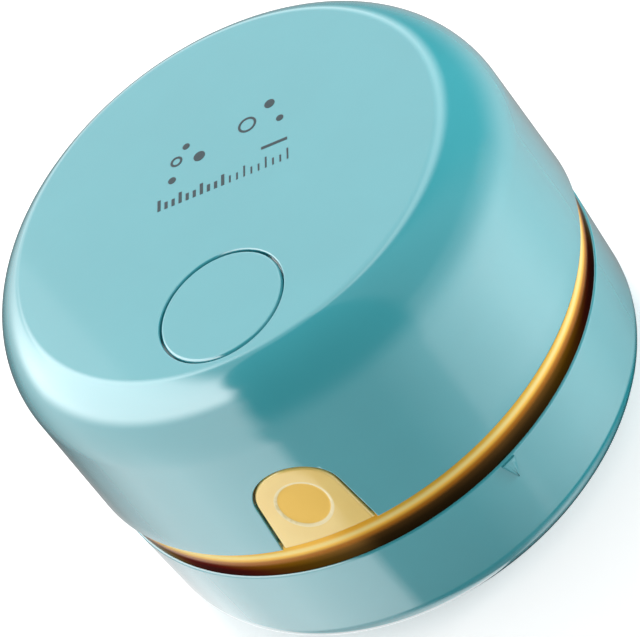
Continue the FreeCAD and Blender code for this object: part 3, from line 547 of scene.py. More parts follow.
plate_grey = grained_finish("plate_grey", tone(214, 218, 220), 0.5)
brush_plate = turned("sole_plate", fillets([
    (0, cup_low, 0), (plate_r, cup_low, plate_round), (plate_r, plate_top, inner_round),
    (0, plate_top, 0),
]), steps=192)
half_length = well_length / 2
half_width = well_width / 2
well = box("well", -half_length, half_length, -half_width, half_width, cup_low - past, well_top)
round_edges(
    well, well_corner,
    lambda spot: abs(spot.x) > half_length - play and abs(spot.y) > half_width - play, segments=8,
)
plate_mouth = stadium(
    "plate_mouth", chimney_length + 2 * mouth_margin, chimney_width + 2 * mouth_margin, 0,
    plate_top + past,
)
plate_cuts = [well, plate_mouth]
for foot_angle, screw_angle in zip(foot_angles, plate_screw_angles):
    spot = around(foot_angle, foot_circle)
    plate_cuts.append(cylinder("foot_seat", foot_r + foot_gap, 0, foot_top, at=spot))
    spot = around(screw_angle, plate_screw_circle)
    plate_cuts.append(cylinder("screw_seat", screw_seat_r, 0, screw_seat_top, at=spot))
    plate_cuts.append(cylinder("screw_hole", pilot_r, 0, plate_top + past, at=spot, sides=24))
for cutter in plate_cuts:
    combine(brush_plate, cutter, "DIFFERENCE")
round_edges(
    brush_plate, moulded_round,
    lambda spot: spot.z < cup_low + play and spot.xy.length < plate_r - plate_round, segments=2,
)
smooth(brush_plate)
show(brush_plate, "base", plate_grey, "inner_plastic", "brush_plate")


# Screws. Small steel pan-head screws with cross slots, zinc plated: four hold the brush plate to the
# cup, four the fan cover to the shell, and the rest the motor and the control board.

def dress(material, *names):
    """Give CAD nodes a finish."""
    for name in names:
        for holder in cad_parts[name].material_slots:
            holder.material = material


screw_steel, shader, place = new_finish("screw_steel", Metallic=1.0)
clouds(place, 700, tone(196, 198, 202), tone(172, 175, 182)).feed(shader, "Base Color")
(noise(place, 2500) * 0.2 + 0.22).feed(shader, "Roughness")
bump(noise(place, 3500), 0.2, 0.02).feed(shader, "Normal")
dress(screw_steel, "brush_plate_screws", "case_screws", "motor_screws", "board_screws")


# Strip brushes. Two black nylon strips glued into the plate's well, one before and one behind the
# mouth. Each has a moulded back and a row of tufts, and each tuft is a bunch of straight bristles.

brush_offset = 7.6
brush_back_low = 2.5
tuft_pitch = 2.9
tuft_count = 12
bristle_end = 0.15
bristle_r = 0.11
bristle_taper = 0.7
bristle_root = 0.2  # how far a bristle runs into the strip
bristle_columns = 5
bristle_rows = 4
column_pitch = 0.33
row_pitch = 0.29
column_splay = 5  # degrees outwards for each millimetre from the tuft's middle
row_splay = 6
stray = 3  # degrees
strip_length = 36.0
strip_width = 2.4
strip_round = 0.25


def copy_of(piece, name):
    """A copy with a mesh of its own."""
    twin = piece.copy()
    twin.data = piece.data.copy()
    twin.name = name
    bpy.context.collection.objects.link(twin)
    return twin


brush_black, shader, place = new_finish("brush_black", IOR=1.5)
shade = noise(place, 2600, detail=2.0).between(0.35, 0.65)
shade.mix(tone(34, 35, 38), tone(58, 60, 64)).feed(shader, "Base Color")
(noise(place, 1500) * 0.2 + 0.35).feed(shader, "Roughness")

random.seed(4)
tuft_parts = []
for column in range(bristle_columns):
    for row in range(bristle_rows):
        x = (column - (bristle_columns - 1) / 2) * column_pitch
        y = (row - (bristle_rows - 1) / 2) * row_pitch
        bpy.ops.object.select_all(action="DESELECT")
        bpy.ops.mesh.primitive_cone_add(
            vertices=6, radius1=bristle_r * bristle_taper * mm, radius2=bristle_r * mm,
            depth=(brush_back_low - bristle_end + bristle_root) * mm,
            location=(x * mm, y * mm, (brush_back_low + bristle_end + bristle_root) / 2 * mm),
        )
        bristle = new_piece("bristle")
        lean_out = x * column_splay + random.uniform(-stray, stray)
        lean_back = y * row_splay + random.uniform(-stray, stray)
        turn_round(bristle, -lean_out, axis="Y", centre=(x, y, brush_back_low))
        turn_round(bristle, lean_back, axis="X", centre=(x, y, brush_back_low))
        tuft_parts.append(bristle)
tuft = join(tuft_parts, "tuft")
for side, name in ((-1, "front_brush"), (1, "rear_brush")):
    strip = box(
        name + "_strip", -strip_length / 2, strip_length / 2, -strip_width / 2, strip_width / 2,
        brush_back_low, well_top,
    )
    round_edges(strip, strip_round, lambda spot: spot.z < brush_back_low + play, segments=2)
    parts = [strip]
    for index in range(tuft_count):
        bunch = copy_of(tuft, "bunch")
        turn_round(bunch, 180 * (index % 2))
        move(bunch, ((index - (tuft_count - 1) / 2) * tuft_pitch, 0, 0))
        parts.append(bunch)
    strip = join(parts, name + "_strip")
    move(strip, (0, side * brush_offset, 0))
    smooth(strip)
    show(strip, "base", brush_black, "bristle", name)
bpy.data.objects.remove(tuft, do_unlink=True)


# Glide feet. Four soft rubber pads glued into the brush plate. They keep the brushes just clear of
# the table and stop the body sliding. Their edges are rounded and their faces slightly dusty.

dimple_r = 2.2
dimple_edge_r = 2.5
dimple_depth = 0.15
dimple_round = 0.3
dimple_edge_round = 0.2
foot_round = 0.5

rubber_grey, shader, place = new_finish("rubber_grey", IOR=1.45)
noise(place, 500).between(0.35, 0.7).mix(tone(58, 60, 63), tone(78, 80, 82)).feed(shader, "Base Color")
(noise(place, 1200) * 0.15 + 0.65).feed(shader, "Roughness")
bump(noise(place, 3000), 0.3, 0.03).feed(shader, "Normal")
feet = []
for foot_angle in foot_angles:
    feet.append(turned("foot", fillets([
        (0, dimple_depth, 0), (dimple_r, dimple_depth, dimple_round),
        (dimple_edge_r, 0, dimple_edge_round), (foot_r, 0, foot_round), (foot_r, foot_top, 0),
        (0, foot_top, 0),
    ]), steps=48, at=around(foot_angle, foot_circle)))
glide_feet = join(feet, "glide_pads")
smooth(glide_feet)
show(glide_feet, "base", rubber_grey, "rubber_grey", "glide_feet")


# Fan cover, cup seal and filter. The light grey cover closes the head underneath and carries the
# fan's volute above. The filter is a black frame clipped over its eye with a pleated white sheet, and
# a rubber seal lies between. A second seal in the trim ring bears on the cup's rim.

cover_grey = grained_finish("cover_grey", tone(206, 211, 214), 0.45)
dress(cover_grey, "fan_cover", "motor_deck")
dress(rubber_grey, "cup_seal", "filter_seal")
black_plastic = grained_finish("black_plastic", tone(38, 39, 42), 0.4)
dress(black_plastic, "filter_frame")
pleated_cloth, shader, place = new_finish("pleated_cloth", Sheen_Weight=0.3, IOR=1.4)
fibres = noise(place, 2600, detail=5.0)
fibres.between(0.3, 0.75).mix(tone(238, 238, 234), tone(212, 212, 206)).feed(shader, "Base Color")
(fibres * 0.2 + 0.75).feed(shader, "Roughness")
bump(fibres, 0.6, 0.06).feed(shader, "Normal")
dress(pleated_cloth, "filter_mesh")


# Impeller and shaft. A black glass-filled fan wheel with eleven blades swept backwards, pressed on
# the motor's steel shaft, which runs in a turned brass bush.

def lathe_finish(name, bright, dull, scale, squeeze, rough_from, rough_more):
    """Bare metal with the fine lines that a lathe or a grinding wheel leaves round it."""
    material, shader, place = new_finish(name, Metallic=1.0)
    squeezed = place.node("ShaderNodeMapping", {"Vector": place, "Scale": (1, 1, squeeze)})
    lines = noise(squeezed, scale)
    lines.mix(bright, dull).feed(shader, "Base Color")
    (lines * rough_more + rough_from).feed(shader, "Roughness")
    return material


dress(black_plastic, "impeller")
ground_steel = lathe_finish("ground_steel", tone(205, 206, 210), tone(180, 182, 186), 300, 30, 0.15, 0.15)
dress(ground_steel, "motor_shaft", "motor_can", "charge_socket")
turned_brass = lathe_finish("turned_brass", tone(222, 186, 110), tone(196, 156, 84), 250, 40, 0.2, 0.2)
dress(turned_brass, "shaft_bush", "motor_terminals")


# Motor end, boards and switch. The motor's black end cap, the green circuit boards with their black
# chips, the push switch under the power button and the clear light guide of the charging lamp.

dress(black_plastic, "motor_end_cap", "board_components", "power_switch", "charge_chip")
dress(plate_grey, "switch_plunger")
solder_mask, shader, place = new_finish("solder_mask", IOR=1.5, Coat_Weight=0.6, Coat_Roughness=0.15)
tracks = place.node("ShaderNodeTexBrick", {
    "Vector": place, "Scale": 220.0, "Mortar Size": 0.06,
    "Color1": (0, 0, 0, 1), "Color2": (0.2, 0.2, 0.2, 1), "Mortar": (1, 1, 1, 1),
})
tracks.mix(tone(22, 92, 52), tone(48, 132, 78)).feed(shader, "Base Color")
(noise(place, 900) * 0.1 + 0.3).feed(shader, "Roughness")
dress(solder_mask, "control_board", "charge_board")
lamp_clear, shader, place = new_finish("lamp_clear", IOR=1.49, Transmission_Weight=0.7)
noise(place, 400).mix(tone(228, 240, 240), tone(208, 224, 226)).feed(shader, "Base Color")
(noise(place, 1500) * 0.2 + 0.15).feed(shader, "Roughness")
dress(lamp_clear, "charge_led")


# Battery and leads. A foil pouch cell stuck to the deck on foam tape, and the red insulated leads
# that join it to the boards and the motor.

pouch_foil, shader, place = new_finish("pouch_foil", Metallic=0.9)
crinkle = noise(place, 350, detail=4.0)
crinkle.mix(tone(188, 190, 194), tone(164, 167, 172)).feed(shader, "Base Color")
(crinkle * 0.2 + 0.28).feed(shader, "Roughness")
bump(crinkle, 0.5, 0.2).feed(shader, "Normal")
dress(pouch_foil, "battery")
foam_black, shader, place = new_finish("foam_black")
cells = place.node("ShaderNodeTexVoronoi", {"Vector": place, "Scale": 2200.0})
cells.mix(tone(30, 30, 32), tone(62, 62, 66)).feed(shader, "Base Color")
(cells * 0.1 + 0.85).feed(shader, "Roughness")
bump(cells, 0.6, 0.1).feed(shader, "Normal")
dress(foam_black, "battery_pad")
lead_red, shader, place = new_finish("lead_red", IOR=1.5)
noise(place, 300).mix(tone(176, 36, 30), tone(150, 28, 26)).feed(shader, "Base Color")
(noise(place, 1200) * 0.1 + 0.35).feed(shader, "Roughness")
dress(lead_red, "battery_lead", "motor_lead", "charge_lead")


# Top shell. A deep moulded cap in the teal plastic, with slightly drafted sides, a wide round
# shoulder and a flat top. It has a round hole for the power button, a window for the release tab,
# and exhaust slots, a charging port and a lamp hole at the back. Screws from below hold it.

shell_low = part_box("top_shell")[0][2] / mm
shell_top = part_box("top_shell")[1][2] / mm
shell_draft = math.radians(2.2)
shoulder_r = 12.0
shoulder_end = math.radians(64)
crown_r = 2.4
shell_wall = 2.0
shell_foot = ((0.4, 0), (0.12, 0.08), (0.015, 0.35))  # in and up: the rounding of the lower edge
side_rows = 6
shoulder_steps = 26
crown_steps = 7
shoulder_z = shell_top - crown_r - (shoulder_r - crown_r) * math.sin(shoulder_end)
side_top_z = shoulder_z + shoulder_r * math.sin(shell_draft)
side_top_r = edge_r - (side_top_z - shell_low) * math.tan(shell_draft)
shoulder_x = side_top_r - shoulder_r * math.cos(shell_draft)
button_y = -23.1
button_r = 9.45
button_gap = 0.25
hole_flare = 0.25
hole_cut_low = 50.0
hole_cut_high = 60.0
arch_z = 36.2
arch_r = 6.2
arch_lean = math.radians(6.2)
tab_gap = 0.25
window_depth = 8.0
slot_count = 9
slot_pitch = 7.0
slot_low = 30.85
slot_high = 36.55
slot_width = 1.6
slot_depth = 6.0
port_width = 9.4
port_height = 3.7
port_from = 37.0  # from the axis, where the cutters of the port and the lamp hole start
port_z = (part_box("charge_socket")[0][2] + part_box("charge_socket")[1][2]) / 2 / mm
lamp_x = 8.0
lamp_r = 1.35
opening_round = 0.16
skin_depth = 1.6


def shell_outline(inset=0.0):
    """The shell's section from the top of its side to the flat top, drawn in by inset."""
    swing = shoulder_r - crown_r
    crown_centre = (
        shoulder_x + swing * math.cos(shoulder_end), shoulder_z + swing * math.sin(shoulder_end),
    )
    shoulder_centre = (shoulder_x, shoulder_z)
    shoulder = arc(shoulder_centre, shoulder_r - inset, shell_draft, shoulder_end, shoulder_steps)
    crown = arc(crown_centre, crown_r - inset, shoulder_end, math.pi / 2, crown_steps)
    return shoulder + crown[1:]


def upright_plate(name, outline, near, far):
    """A closed outline, filled and extruded along Y."""
    piece = draw(name, outline + [outline[0]])
    bpy.ops.mesh.remove_doubles(threshold=0.002 * mm)
    bpy.ops.mesh.edge_face_add()
    bpy.ops.transform.translate(value=(0, near * mm, 0))
    bpy.ops.mesh.extrude_region_move(TRANSFORM_OT_translate={"value": (0, (far - near) * mm, 0)})
    merge_and_face_out()
    leave_edit()
    return piece


def arch_outline(grow, low):
    """The release tab's outline, grown all round: an arch on two sides that lean out to the foot."""
    radius = arch_r + grow
    top = arc((0, arch_z), radius, arch_lean, math.pi - arch_lean, 40)
    foot = top[0][0] + (top[0][1] - low) * math.tan(arch_lean)
    return [(foot, low)] + top + [(-foot, low)]


def slot_outline(width, low, high):
    """An upright slot with round ends."""
    half = width / 2
    top = arc((0, high - half), half, 0, math.pi, 12)
    return top + arc((0, low + half), half, math.pi, math.tau, 12)


shell_chain = [(edge_r - inwards, shell_low + up) for inwards, up in shell_foot]
for row in range(1, side_rows):
    height = shell_low + (side_top_z - shell_low) * row / side_rows
    shell_chain.append((edge_r - (height - shell_low) * math.tan(shell_draft), height))
shell_chain += shell_outline() + [(0, shell_top), (0, shell_top - shell_wall)]
shell_chain += list(reversed(shell_outline(shell_wall))) + [(edge_r - shell_wall, shell_low)]
shell_cap = turned("shell_cap", shell_chain, steps=288, closed=True)
hole_r = button_r + button_gap
flare_steps = arc((hole_r + hole_flare, shell_top - hole_flare), hole_flare, math.pi, math.pi / 2, 4)
hole_chain = [(0, hole_cut_low), (hole_r, hole_cut_low)] + flare_steps
hole_chain += [(hole_r + hole_flare, hole_cut_high), (0, hole_cut_high)]
button_hole = turned("button_hole", hole_chain, steps=128, at=(0, button_y))
tab_window = upright_plate(
    "tab_window", arch_outline(tab_gap, shell_low - past), -edge_r - past, -edge_r + window_depth,
)
port = stadium("port", port_width, port_height, port_from, edge_r + past)
turn_round(port, -90, axis="X")
move(port, (0, 0, port_z))
lamp_hole = cylinder("lamp_hole", lamp_r, port_from, edge_r + past, sides=32)
turn_round(lamp_hole, -90, axis="X")
move(lamp_hole, (lamp_x, 0, port_z))
shell_cuts = [button_hole, tab_window, port, lamp_hole]
for index in range(slot_count):
    slot_cutter = upright_plate(
        "slot", slot_outline(slot_width, slot_low, slot_high), edge_r - slot_depth, edge_r + past,
    )
    turn_round(slot_cutter, (index - (slot_count - 1) / 2) * slot_pitch)
    shell_cuts.append(slot_cutter)
for cutter in shell_cuts:
    combine(shell_cap, cutter, "DIFFERENCE")
over_foot = shell_low + 0.5  # above the rounding of the lower edge
round_edges(
    shell_cap, opening_round,
    lambda spot: spot.xy.length > edge_r - skin_depth and over_foot < spot.z < side_top_z,
)
smooth(shell_cap)
shell_teal = teal_finish("shell_teal", teal_mottle)
show(shell_cap, "head", shell_teal, "teal_shell", "top_shell")


# Power button. A round teal key, flush with the top, with a rolled edge, a flange that holds it under
# the shell and a stem that bears on the switch. It is moulded in the shell's plastic.

button_round = 0.45
button_flange_r = 10.2
button_flange_low = 55.0
button_flange_top = 55.9
button_flange_round = 0.1
stem_r = 2.0
stem_low = 52.8
stem_round = 0.2

power_key = turned("power_key", fillets([
    (0, stem_low, 0),
    (stem_r, stem_low, stem_round),
    (stem_r, button_flange_low, 0),
    (button_flange_r, button_flange_low, button_flange_round),
    (button_flange_r, button_flange_top, button_flange_round),
    (button_r, button_flange_top, 0),
    (button_r, shell_top, button_round),
    (0, shell_top, 0),
]), steps=128, at=(0, button_y))
smooth(power_key)
key_teal = teal_finish("key_teal", tone(69, 168, 179))
show(power_key, "power_button", key_teal, "button_teal", "power_button")


# Trim ring. A polished ring between the shell and the cup: one full roll, a little inside both, that
# a neck carries under the shell's edge. It is moulded in plastic, metallised gold on the upper side of
# the roll, and clamped between shell and fan cover. Its colour carries a painted highlight, a cream
# band along the upper roll, and painted shade that darkens it through amber to dark bronze at the foot.

ring_foot_r = edge_r - 0.85
crest_r = edge_r - 0.7
crest_z = 24.9
neck_r = crest_r - 0.95
roll_r = 2.7
ring_inner_r = 39.4
spigot_r = 39.75
spigot_wall = 0.7
spigot_top = shell_low + 3.0
notch_half = 9.3
# The ring's painted highlight and its painted shade towards the foot are placed by these heights.
painted_highlight_low = (25.1, 25.6)  # these six: heights between which a colour or the lacquer comes or goes
painted_highlight_high = (26.2, 25.7)
amber_shade_fall = (25.3, 24.4)
bronze_shade_fall = (24.5, 23.4)
foot_shade_fall = (23.6, 22.2)
lacquer_fall = (25.3, 24.3)
bulge = crest_r - ring_foot_r
fall = crest_z - cup_rim
low_roll_r = (fall ** 2 + bulge ** 2) / (2 * bulge)
foot_slope = -math.asin(fall / low_roll_r)
neck_slope = math.acos((neck_r - crest_r + roll_r) / roll_r)
ring_chain = [(ring_inner_r, cup_rim)]
ring_chain += arc((crest_r - low_roll_r, crest_z), low_roll_r, foot_slope, 0, 16)
ring_chain += arc((crest_r - roll_r, crest_z), roll_r, 0, neck_slope, 16)[1:]
ring_chain += [(neck_r, shell_low), (ring_inner_r, shell_low)]
trim_roll = turned("trim_roll", ring_chain, steps=360, closed=True)
smooth(trim_roll, 30)
spigot = turned("ring_spigot", [
    (spigot_r - spigot_wall, shell_low), (spigot_r, shell_low), (spigot_r, spigot_top),
    (spigot_r - spigot_wall, spigot_top),
], steps=144, closed=True)
notch = box(
    "spigot_notch", -notch_half, notch_half, -edge_r, -edge_r / 2, shell_low - past, spigot_top + past,
)
combine(spigot, notch, "DIFFERENCE")
smooth(spigot)
ring_gold, shader, place = new_finish(
    "ring_gold", IOR=1.4, Specular_Tint=(0.35, 0.25, 0.12, 1), Coat_IOR=1.6,
)
height = place.axis("Z") / mm
gold = clouds(place, 120, tone(255, 200, 76), tone(252, 194, 70))
# A painted highlight: a cream band high on the roll, where the gold would catch the light.
painted_highlight = height.between(*painted_highlight_low) * height.between(*painted_highlight_high)
# Painted shade: lower down the roll the gold darkens through amber and bronze to a dark foot.
amber_shaded = height.between(*amber_shade_fall).mix(painted_highlight.mix(gold, tone(255, 230, 146)), tone(172, 106, 24))
bronze_shade_share = height.between(*bronze_shade_fall)
bronze_shaded = bronze_shade_share.mix(amber_shaded, tone(104, 74, 38))
height.between(*foot_shade_fall).mix(bronze_shaded, tone(74, 56, 32)).feed(shader, "Base Color")
(bronze_shade_share * 0.77 + 0.2).feed(shader, "Metallic")
(0.35 - 0.35 * height.between(*lacquer_fall)).feed(shader, "Coat Weight")
(noise(place, 500) * 0.05 + 0.22 - 0.08 * bronze_shade_share).feed(shader, "Roughness")
show(trim_roll, "head", ring_gold, "gold", "trim_ring")
show(spigot, "head", ring_gold, "gold")


# Release tab. A gold key in the form of an arch, flush with the shell's side, with a shallow thumb
# dish that is a little taller than wide. It is moulded in satin metallised plastic, kept behind the
# window by a flange, and its pusher bends the latch arm. A pale line round the dish's edge is a
# painted highlight, where its chamfer would catch the light.

tab_low = 27.6
key_depth = 3.5
key_round = 0.45
flange_grow = 1.85
flange_depth = 2.3
dish_r = 3.8
dish_rim = 0.5
dish_depth = 0.2
dish_narrow = 0.92
dish_tall = 1.1
dish_z = shell_low + 7.75
dish_over = 0.02  # how far the dish's cutter stands over the face where its slope ends
dish_cut_top = 3.0
dish_clear = 5.0  # wider than the dish all round
dish_edge = (dish_r + 0.05, dish_r - 0.1)  # these three: from the dish's middle
rim_highlight_start = (dish_r - 0.05, dish_r + 0.1)
rim_highlight_end = (dish_r + 0.6, dish_r + 0.4)
pusher_half = 3.0
pusher_root = -39.5
pusher_tip = -34.9
pusher_low = 28.95
pusher_high = 31.95
pusher_round = 0.2
facet_width = 0.4


def wrap_on_side(piece, width, depth):
    """Bend an upright plate to the shell's curve, lean it with the draft and set it into the side."""
    edit(piece)
    for step in range(1, int(width / facet_width)):
        bpy.ops.mesh.select_all(action="SELECT")
        cut_x = (step * facet_width - width / 2) * mm
        bpy.ops.mesh.bisect(plane_co=(cut_x, 0, 0), plane_no=(1, 0, 0))
    leave_edit()
    apply_modifier(
        piece, "SIMPLE_DEFORM", deform_method="BEND", deform_axis="Z", angle=width / (edge_r - depth),
    )
    turn_round(piece, -math.degrees(shell_draft), axis="X", centre=(0, 0, shell_low))
    move(piece, (0, depth - edge_r, 0))


tab_outline = arch_outline(0, tab_low)
tab_key = upright_plate("tab_key", tab_outline, 0, key_depth)
dish = turned("dish", [
    (0, -dish_depth), (dish_r, -dish_depth), (dish_r + dish_rim, dish_over),
    (dish_r + dish_rim, dish_cut_top), (0, dish_cut_top),
], steps=96)
turn_round(dish, 90, axis="X")
edit(dish)
bpy.ops.mesh.select_all(action="SELECT")
bpy.ops.transform.resize(value=(dish_narrow, 1, dish_tall), center_override=(0, 0, 0))
leave_edit()
move(dish, (0, 0, dish_z))
combine(tab_key, dish, "DIFFERENCE")
round_edges(
    tab_key, key_round,
    lambda spot: spot.y < play and math.hypot(spot.x, spot.z - dish_z) > dish_clear, segments=5,
)
wrap_on_side(tab_key, 2 * tab_outline[0][0], 0)
flange_outline = arch_outline(flange_grow, tab_low)
keeper = upright_plate("keeper", flange_outline, 0, key_depth - flange_depth)
wrap_on_side(keeper, 2 * flange_outline[0][0], flange_depth)
pusher = box(
    "pusher", -pusher_half, pusher_half, pusher_root, pusher_tip, pusher_low, pusher_high,
)
round_edges(pusher, pusher_round, lambda spot: spot.y > pusher_tip - play, segments=2)
smooth(tab_key)
tab_back = join([keeper, pusher], "tab_keeper")
smooth(tab_back)
tab_gold, shader, place = new_finish(
    "tab_gold", Metallic=0.15, IOR=1.5, Coat_Roughness=0.12, Coat_IOR=1.8,
)
# the place in millimetres, with the dish's oval pulled back to a circle
scaled = place.node("ShaderNodeVectorMath", {
    0: place, 1: (1 / dish_narrow / mm, 0, 1 / dish_tall / mm),
}, operation="MULTIPLY")
from_dish = scaled.node(
    "ShaderNodeVectorMath", {0: scaled, 1: (0, 0, dish_z / dish_tall)}, out="Value", operation="DISTANCE",
)
face_gold = clouds(place, 200, tone(255, 222, 126), tone(254, 218, 120))
in_dish = from_dish.between(*dish_edge)
# A painted highlight: a pale line round the dish's edge, where its chamfer would catch the light.
painted_rim_highlight = from_dish.between(*rim_highlight_start) * from_dish.between(*rim_highlight_end)
face_with_rim_highlight = painted_rim_highlight.mix(face_gold, tone(255, 236, 176))
in_dish.mix(face_with_rim_highlight, tone(255, 208, 96)).feed(shader, "Base Color")
(1 - in_dish).feed(shader, "Coat Weight")
(noise(place, 1500) * 0.08 + 0.4).feed(shader, "Roughness")
bump(noise(place, 6000, detail=1.0), 0.1, 0.01).feed(shader, "Normal")
show(tab_key, "release_tab", tab_gold, "gold", "release_tab")
show(tab_back, "release_tab", tab_gold, "gold")


# Latch arm. A springy moulded arm staked under the motor deck. Its nose hooks under the cup's catch,
# and the tab's pusher bends it inwards to let the cup go. Light grey, with a sloped lead-in.

arm_half = 4.0
arm_outer = -34.8
arm_inner = -33.6
arm_low = 17.0
arm_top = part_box("latch_arm")[1][2] / mm
arm_rows = 14
arm_round = 0.2
anchor_inner = -31.5
anchor_low = arm_top - 2.5
nose_top = 19.3
nose_face = -38.74
nose_root = 0.2
lead_in = 1.6

latch_spring = box("latch_spring", -arm_half, arm_half, arm_outer, arm_inner, arm_low, arm_top)
edit(latch_spring)
for row in range(1, arm_rows):
    bpy.ops.mesh.select_all(action="SELECT")
    cut_z = (arm_low + (arm_top - arm_low) * row / arm_rows) * mm
    bpy.ops.mesh.bisect(plane_co=(0, 0, cut_z), plane_no=(0, 0, 1))
leave_edit()
anchor = box("anchor", -arm_half, arm_half, arm_outer, anchor_inner, anchor_low, arm_top)
nose = box("nose", -arm_half, arm_half, nose_face, arm_outer + nose_root, arm_low, nose_top)
edit(nose)
select_spots(nose, lambda spot: spot.z < arm_low + play and spot.y < nose_face + play)
bpy.ops.transform.translate(value=(0, 0, lead_in * mm))
leave_edit()
for extra in (anchor, nose):
    combine(latch_spring, extra, "UNION")
round_edges(latch_spring, arm_round, lambda spot: spot.z < arm_top - play, segments=2)
smooth(latch_spring)
latch_spring.data.materials.append(plate_grey)
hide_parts("latch_arm")
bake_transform(latch_spring)


# Printed marks. A small group of round marks in dark ink on the top, over a row of plain ticks. They
# are pad printed on the finished shell.

ink_low = shell_top - 0.02
ink_high = shell_top + 0.03
ink_dots = ((-3.4, 8.4, 0.95), (-5.6, 11.6, 0.6), (8.2, 13.3, 0.85), (9.8, 9.4, 0.6), (-7.9, 5.6, 0.65))
ink_rings = ((-7.2, 9.2, 1.0), (4.5, 10.8, 1.5))
ink_line = 0.4
bar_left = 6.7
bar_right = 10.9
bar_low = 4.3
bar_high = 4.85
tick_count = 19
tick_first = -10.0
tick_pitch = 1.16
tick_foot = 0.3
long_tick = 2.2
short_tick = 1.4
long_every = 3
bold_half = 0.26
fine_half = 0.14

ink, shader, place = new_finish("ink", IOR=1.5)
clouds(place, 3000, tone(40, 58, 64), tone(48, 68, 74)).feed(shader, "Base Color")
(noise(place, 900) * 0.1 + 0.3).feed(shader, "Roughness")
marks = []
for x, y, radius in ink_dots:
    marks.append(cylinder("dot", radius, ink_low, ink_high, at=(x, y), sides=32))
for x, y, radius in ink_rings:
    inside = radius - ink_line
    marks.append(turned("ring_mark", [
        (inside, ink_low), (radius, ink_low), (radius, ink_high), (inside, ink_high),
    ], steps=40, closed=True, at=(x, y)))
marks.append(box("bar", bar_left, bar_right, bar_low, bar_high, ink_low, ink_high))
for index in range(tick_count):
    length = long_tick if index % long_every == 0 else short_tick
    half = bold_half if index < tick_count / 2 else fine_half
    x = tick_first + index * tick_pitch
    marks.append(box("tick", x - half, x + half, tick_foot, tick_foot + length, ink_low, ink_high))
printed = join(marks, "printed_marks")
show(printed, "head", ink, "dark_plastic")


# Studio. A pale floor, a white surround, soft lamps and the camera. What glosses and metal reflect is
# a white room with a bright soft box on the left and a tall dark screen on the right.

dome_level = 1.05
screen_shade = 0.5
wall_light = 1.33
box_light = 3.3
behind_light = 1.45
seam_bearing = -150.0  # bearings run from here round the front and the right, back to the same place
floor_stops = (  # bearing, and half the light that gloss finds there low down
    (-126, 0.08), (-110, 0.22), (-90, 0.55), (-66, 0.7), (-22.5, 0.63), (-16.5, 0.15), (25, 0.15),
    (48, 0.26), (53, 0.45), (90, 0.7), (104, 0.66), (126, 0.42), (145, 0.32), (165, 0.24), (200, 0.15),
)
screen_start = 15.2  # degrees to the left of the front
screen_bends = ((-6, 0.17), (30, 0.33), (47, 0.9))  # rise, and how much more the edge leans above it
screen_soft = 5
box_start = -104.0
aim_height = 0.03  # metres, where the lamps point


def ray_kinds(tree):
    """Sockets that are 1 for camera rays, for glossy rays and for transmission rays."""
    path = tree.nodes.new("ShaderNodeLightPath")
    kinds = ("Is Camera Ray", "Is Glossy Ray", "Is Transmission Ray")
    return [Socket(tree, path.outputs[kind]) for kind in kinds]


def on_ramp(degrees):
    """A bearing as a share of the full turn, for a ramp."""
    return (degrees - seam_bearing) / 360


world = bpy.data.worlds.new("surround")
bpy.context.scene.world = world
world.use_nodes = True
tree = world.node_tree
coordinates = tree.nodes.new("ShaderNodeTexCoord")
ray = Socket(tree, coordinates.outputs["Generated"])
bearing = ray.math("ARCTAN2", ray.axis("X"), ray.axis("Y") * -1) * math.degrees(1)
rise = ray.math("ARCSINE", ray.axis("Z")) * math.degrees(1)
bearing = bearing + 360 * ray.math("LESS_THAN", bearing, seam_bearing)

# Low down, gloss sees the floor. Its light changes with the bearing, and it is dimmer towards the
# body's own foot, most of all from the front round to the back, but less so straight down. A patch of
# floor at the left is lit.
ramp_stops = [(on_ramp(stop_bearing), share) for stop_bearing, share in floor_stops]
low_levels = bearing.node("ShaderNodeValToRGB", {0: on_ramp(bearing)}, stops=ramp_stops) * 2
left_floor = bearing.between(-84, -118) * rise.between(-37, -46)
off_straight_down = 0.5 + 0.5 * rise.between(-76, -58)
foot_dimming = 0.55 + 0.3 * bearing.between(-40, -24)
near_foot = 1 - rise.between(-47, -55) * off_straight_down * foot_dimming
near_foot = near_foot - 0.3 * bearing.between(45, 60) * rise.between(-38, -46) * rise.between(-66, -50)
near_foot = near_foot * (1 - 0.8 * bearing.between(140, 165) * rise.between(-42, -50) * off_straight_down)
low_light = low_levels * near_foot + left_floor

# Higher up, the screen's edge leans further left the higher it goes. To the right of it all is dark
# but a grey stretch at the right and a bright wall behind. To the left are a white wall, which dims
# towards the top, and the soft box.
screen_edge = bearing + screen_start
for bend_rise, lean in screen_bends:
    screen_edge = screen_edge + lean * ray.math("MAXIMUM", rise - bend_rise, 0.0)
screen = screen_edge.between(-screen_soft, screen_soft)
behind = (bearing + rise).between(177, 193) * (1 - 0.3 * (bearing + rise).between(200, 232))
grey_side = bearing.between(46, 56) * bearing.between(128, 92) * (0.2 + 0.2 * rise.between(22, 10))
box_foot = rise - 0.5 * (ray.math("MAXIMUM", bearing, box_start) - box_start)
box_side = bearing - 15 * rise.between(32, 22)
soft_box = box_foot.between(-7, 7) * rise.between(68, 56) * box_side.between(-152, -122) * (1 - screen)
open_wall = wall_light * (1 - 0.75 * rise.between(42, 80))
high_light = (1 - screen) * open_wall + screen * (grey_side + behind * behind_light)
high_light = high_light + soft_box * (box_light - wall_light)
rising = rise.between(-25, 14)
studio = low_light * (1 - rising) + high_light * rising

# The camera and clear pieces see plain white, gloss sees the studio, and what lights the object is a
# plain dome, dimmer on the screen's side.
camera_ray, glossy_ray, clear_ray = ray_kinds(tree)
white_ray = ray.math("MAXIMUM", camera_ray, clear_ray)
sky = dome_level * (1 - screen_shade * screen * rise.between(-5, 25))
plain = sky * (1 - white_ray) + white_ray
level = plain * (1 - glossy_ray) + studio * glossy_ray
level.feed(tree.nodes["Background"], "Strength")
tree.nodes["Background"].inputs["Color"].default_value = (1, 1, 1, 1)

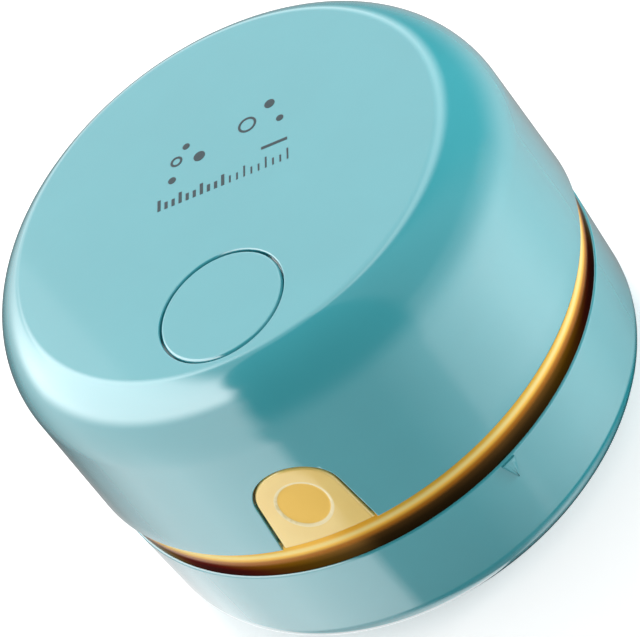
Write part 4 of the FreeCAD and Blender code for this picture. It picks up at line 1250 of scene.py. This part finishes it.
bpy.ops.object.select_all(action="DESELECT")
bpy.ops.mesh.primitive_plane_add(size=6, location=(0, 0, 0))
floor = new_piece("floor")
floor_finish, shader, place = new_finish("floor_finish", Roughness=0.9, Emission_Strength=1.0)
noise(place, 3).mix((0.8, 0.8, 0.8, 1), (0.79, 0.79, 0.79, 1)).feed(shader, "Base Color")
camera_ray, glossy_ray, clear_ray = ray_kinds(floor_finish.node_tree)
camera_ray.mix((0, 0, 0, 1), (0.5, 0.5, 0.5, 1)).feed(shader, "Emission Color")
floor.data.materials.append(floor_finish)
floor.visible_glossy = False


def soft_lamp(name, size, power, bearing_degrees, rise_degrees, distance):
    """A round soft lamp that faces the object and shows in no reflection."""
    x, y = around(bearing_degrees, distance * math.cos(math.radians(rise_degrees)))
    spot = Vector((x, y, distance * math.sin(math.radians(rise_degrees)) + aim_height))
    bpy.ops.object.select_all(action="DESELECT")
    bpy.ops.object.light_add(type="AREA", location=spot)
    lamp = bpy.context.object
    lamp.name = name
    lamp.data.shape = "DISK"
    lamp.data.size = size
    lamp.data.energy = power
    lamp.rotation_euler = (spot - Vector((0, 0, aim_height))).to_track_quat("Z", "Y").to_euler()
    lamp.visible_glossy = False


soft_lamp("key_lamp", 0.7, 8.3, -160, 52, 1.2)
soft_lamp("side_lamp", 0.25, 4.8, 112, 4, 0.8)

view_azimuth = math.radians(25)
view_rise = math.radians(40.2)
view_roll = math.radians(38.06)
view_distance = 413.4
view_focal = 2789.2  # in pixels of a picture 640 wide
picture_width = 640
sensor_width = 36.0
shift_right = 0.04 * view_distance / view_focal
shift_up = -2.8 * view_distance / view_focal
back = Vector((
    math.sin(view_azimuth) * math.cos(view_rise),
    -math.cos(view_azimuth) * math.cos(view_rise),
    math.sin(view_rise),
))
level_right = Vector((math.cos(view_azimuth), math.sin(view_azimuth), 0))
level_up = back.cross(level_right)
camera_right = level_right * math.cos(view_roll) - level_up * math.sin(view_roll)
camera_up = level_right * math.sin(view_roll) + level_up * math.cos(view_roll)
aim = Vector((0, 0, 28))
stand = aim + back * view_distance - camera_right * shift_right + camera_up * shift_up
bpy.ops.object.camera_add(location=stand * mm)
camera = bpy.context.object
camera.rotation_euler = Matrix((camera_right, camera_up, back)).transposed().to_euler()
camera.data.sensor_width = sensor_width
camera.data.lens = view_focal / picture_width * sensor_width
bpy.context.scene.camera = camera
bpy.context.scene.view_settings.view_transform = "Standard"
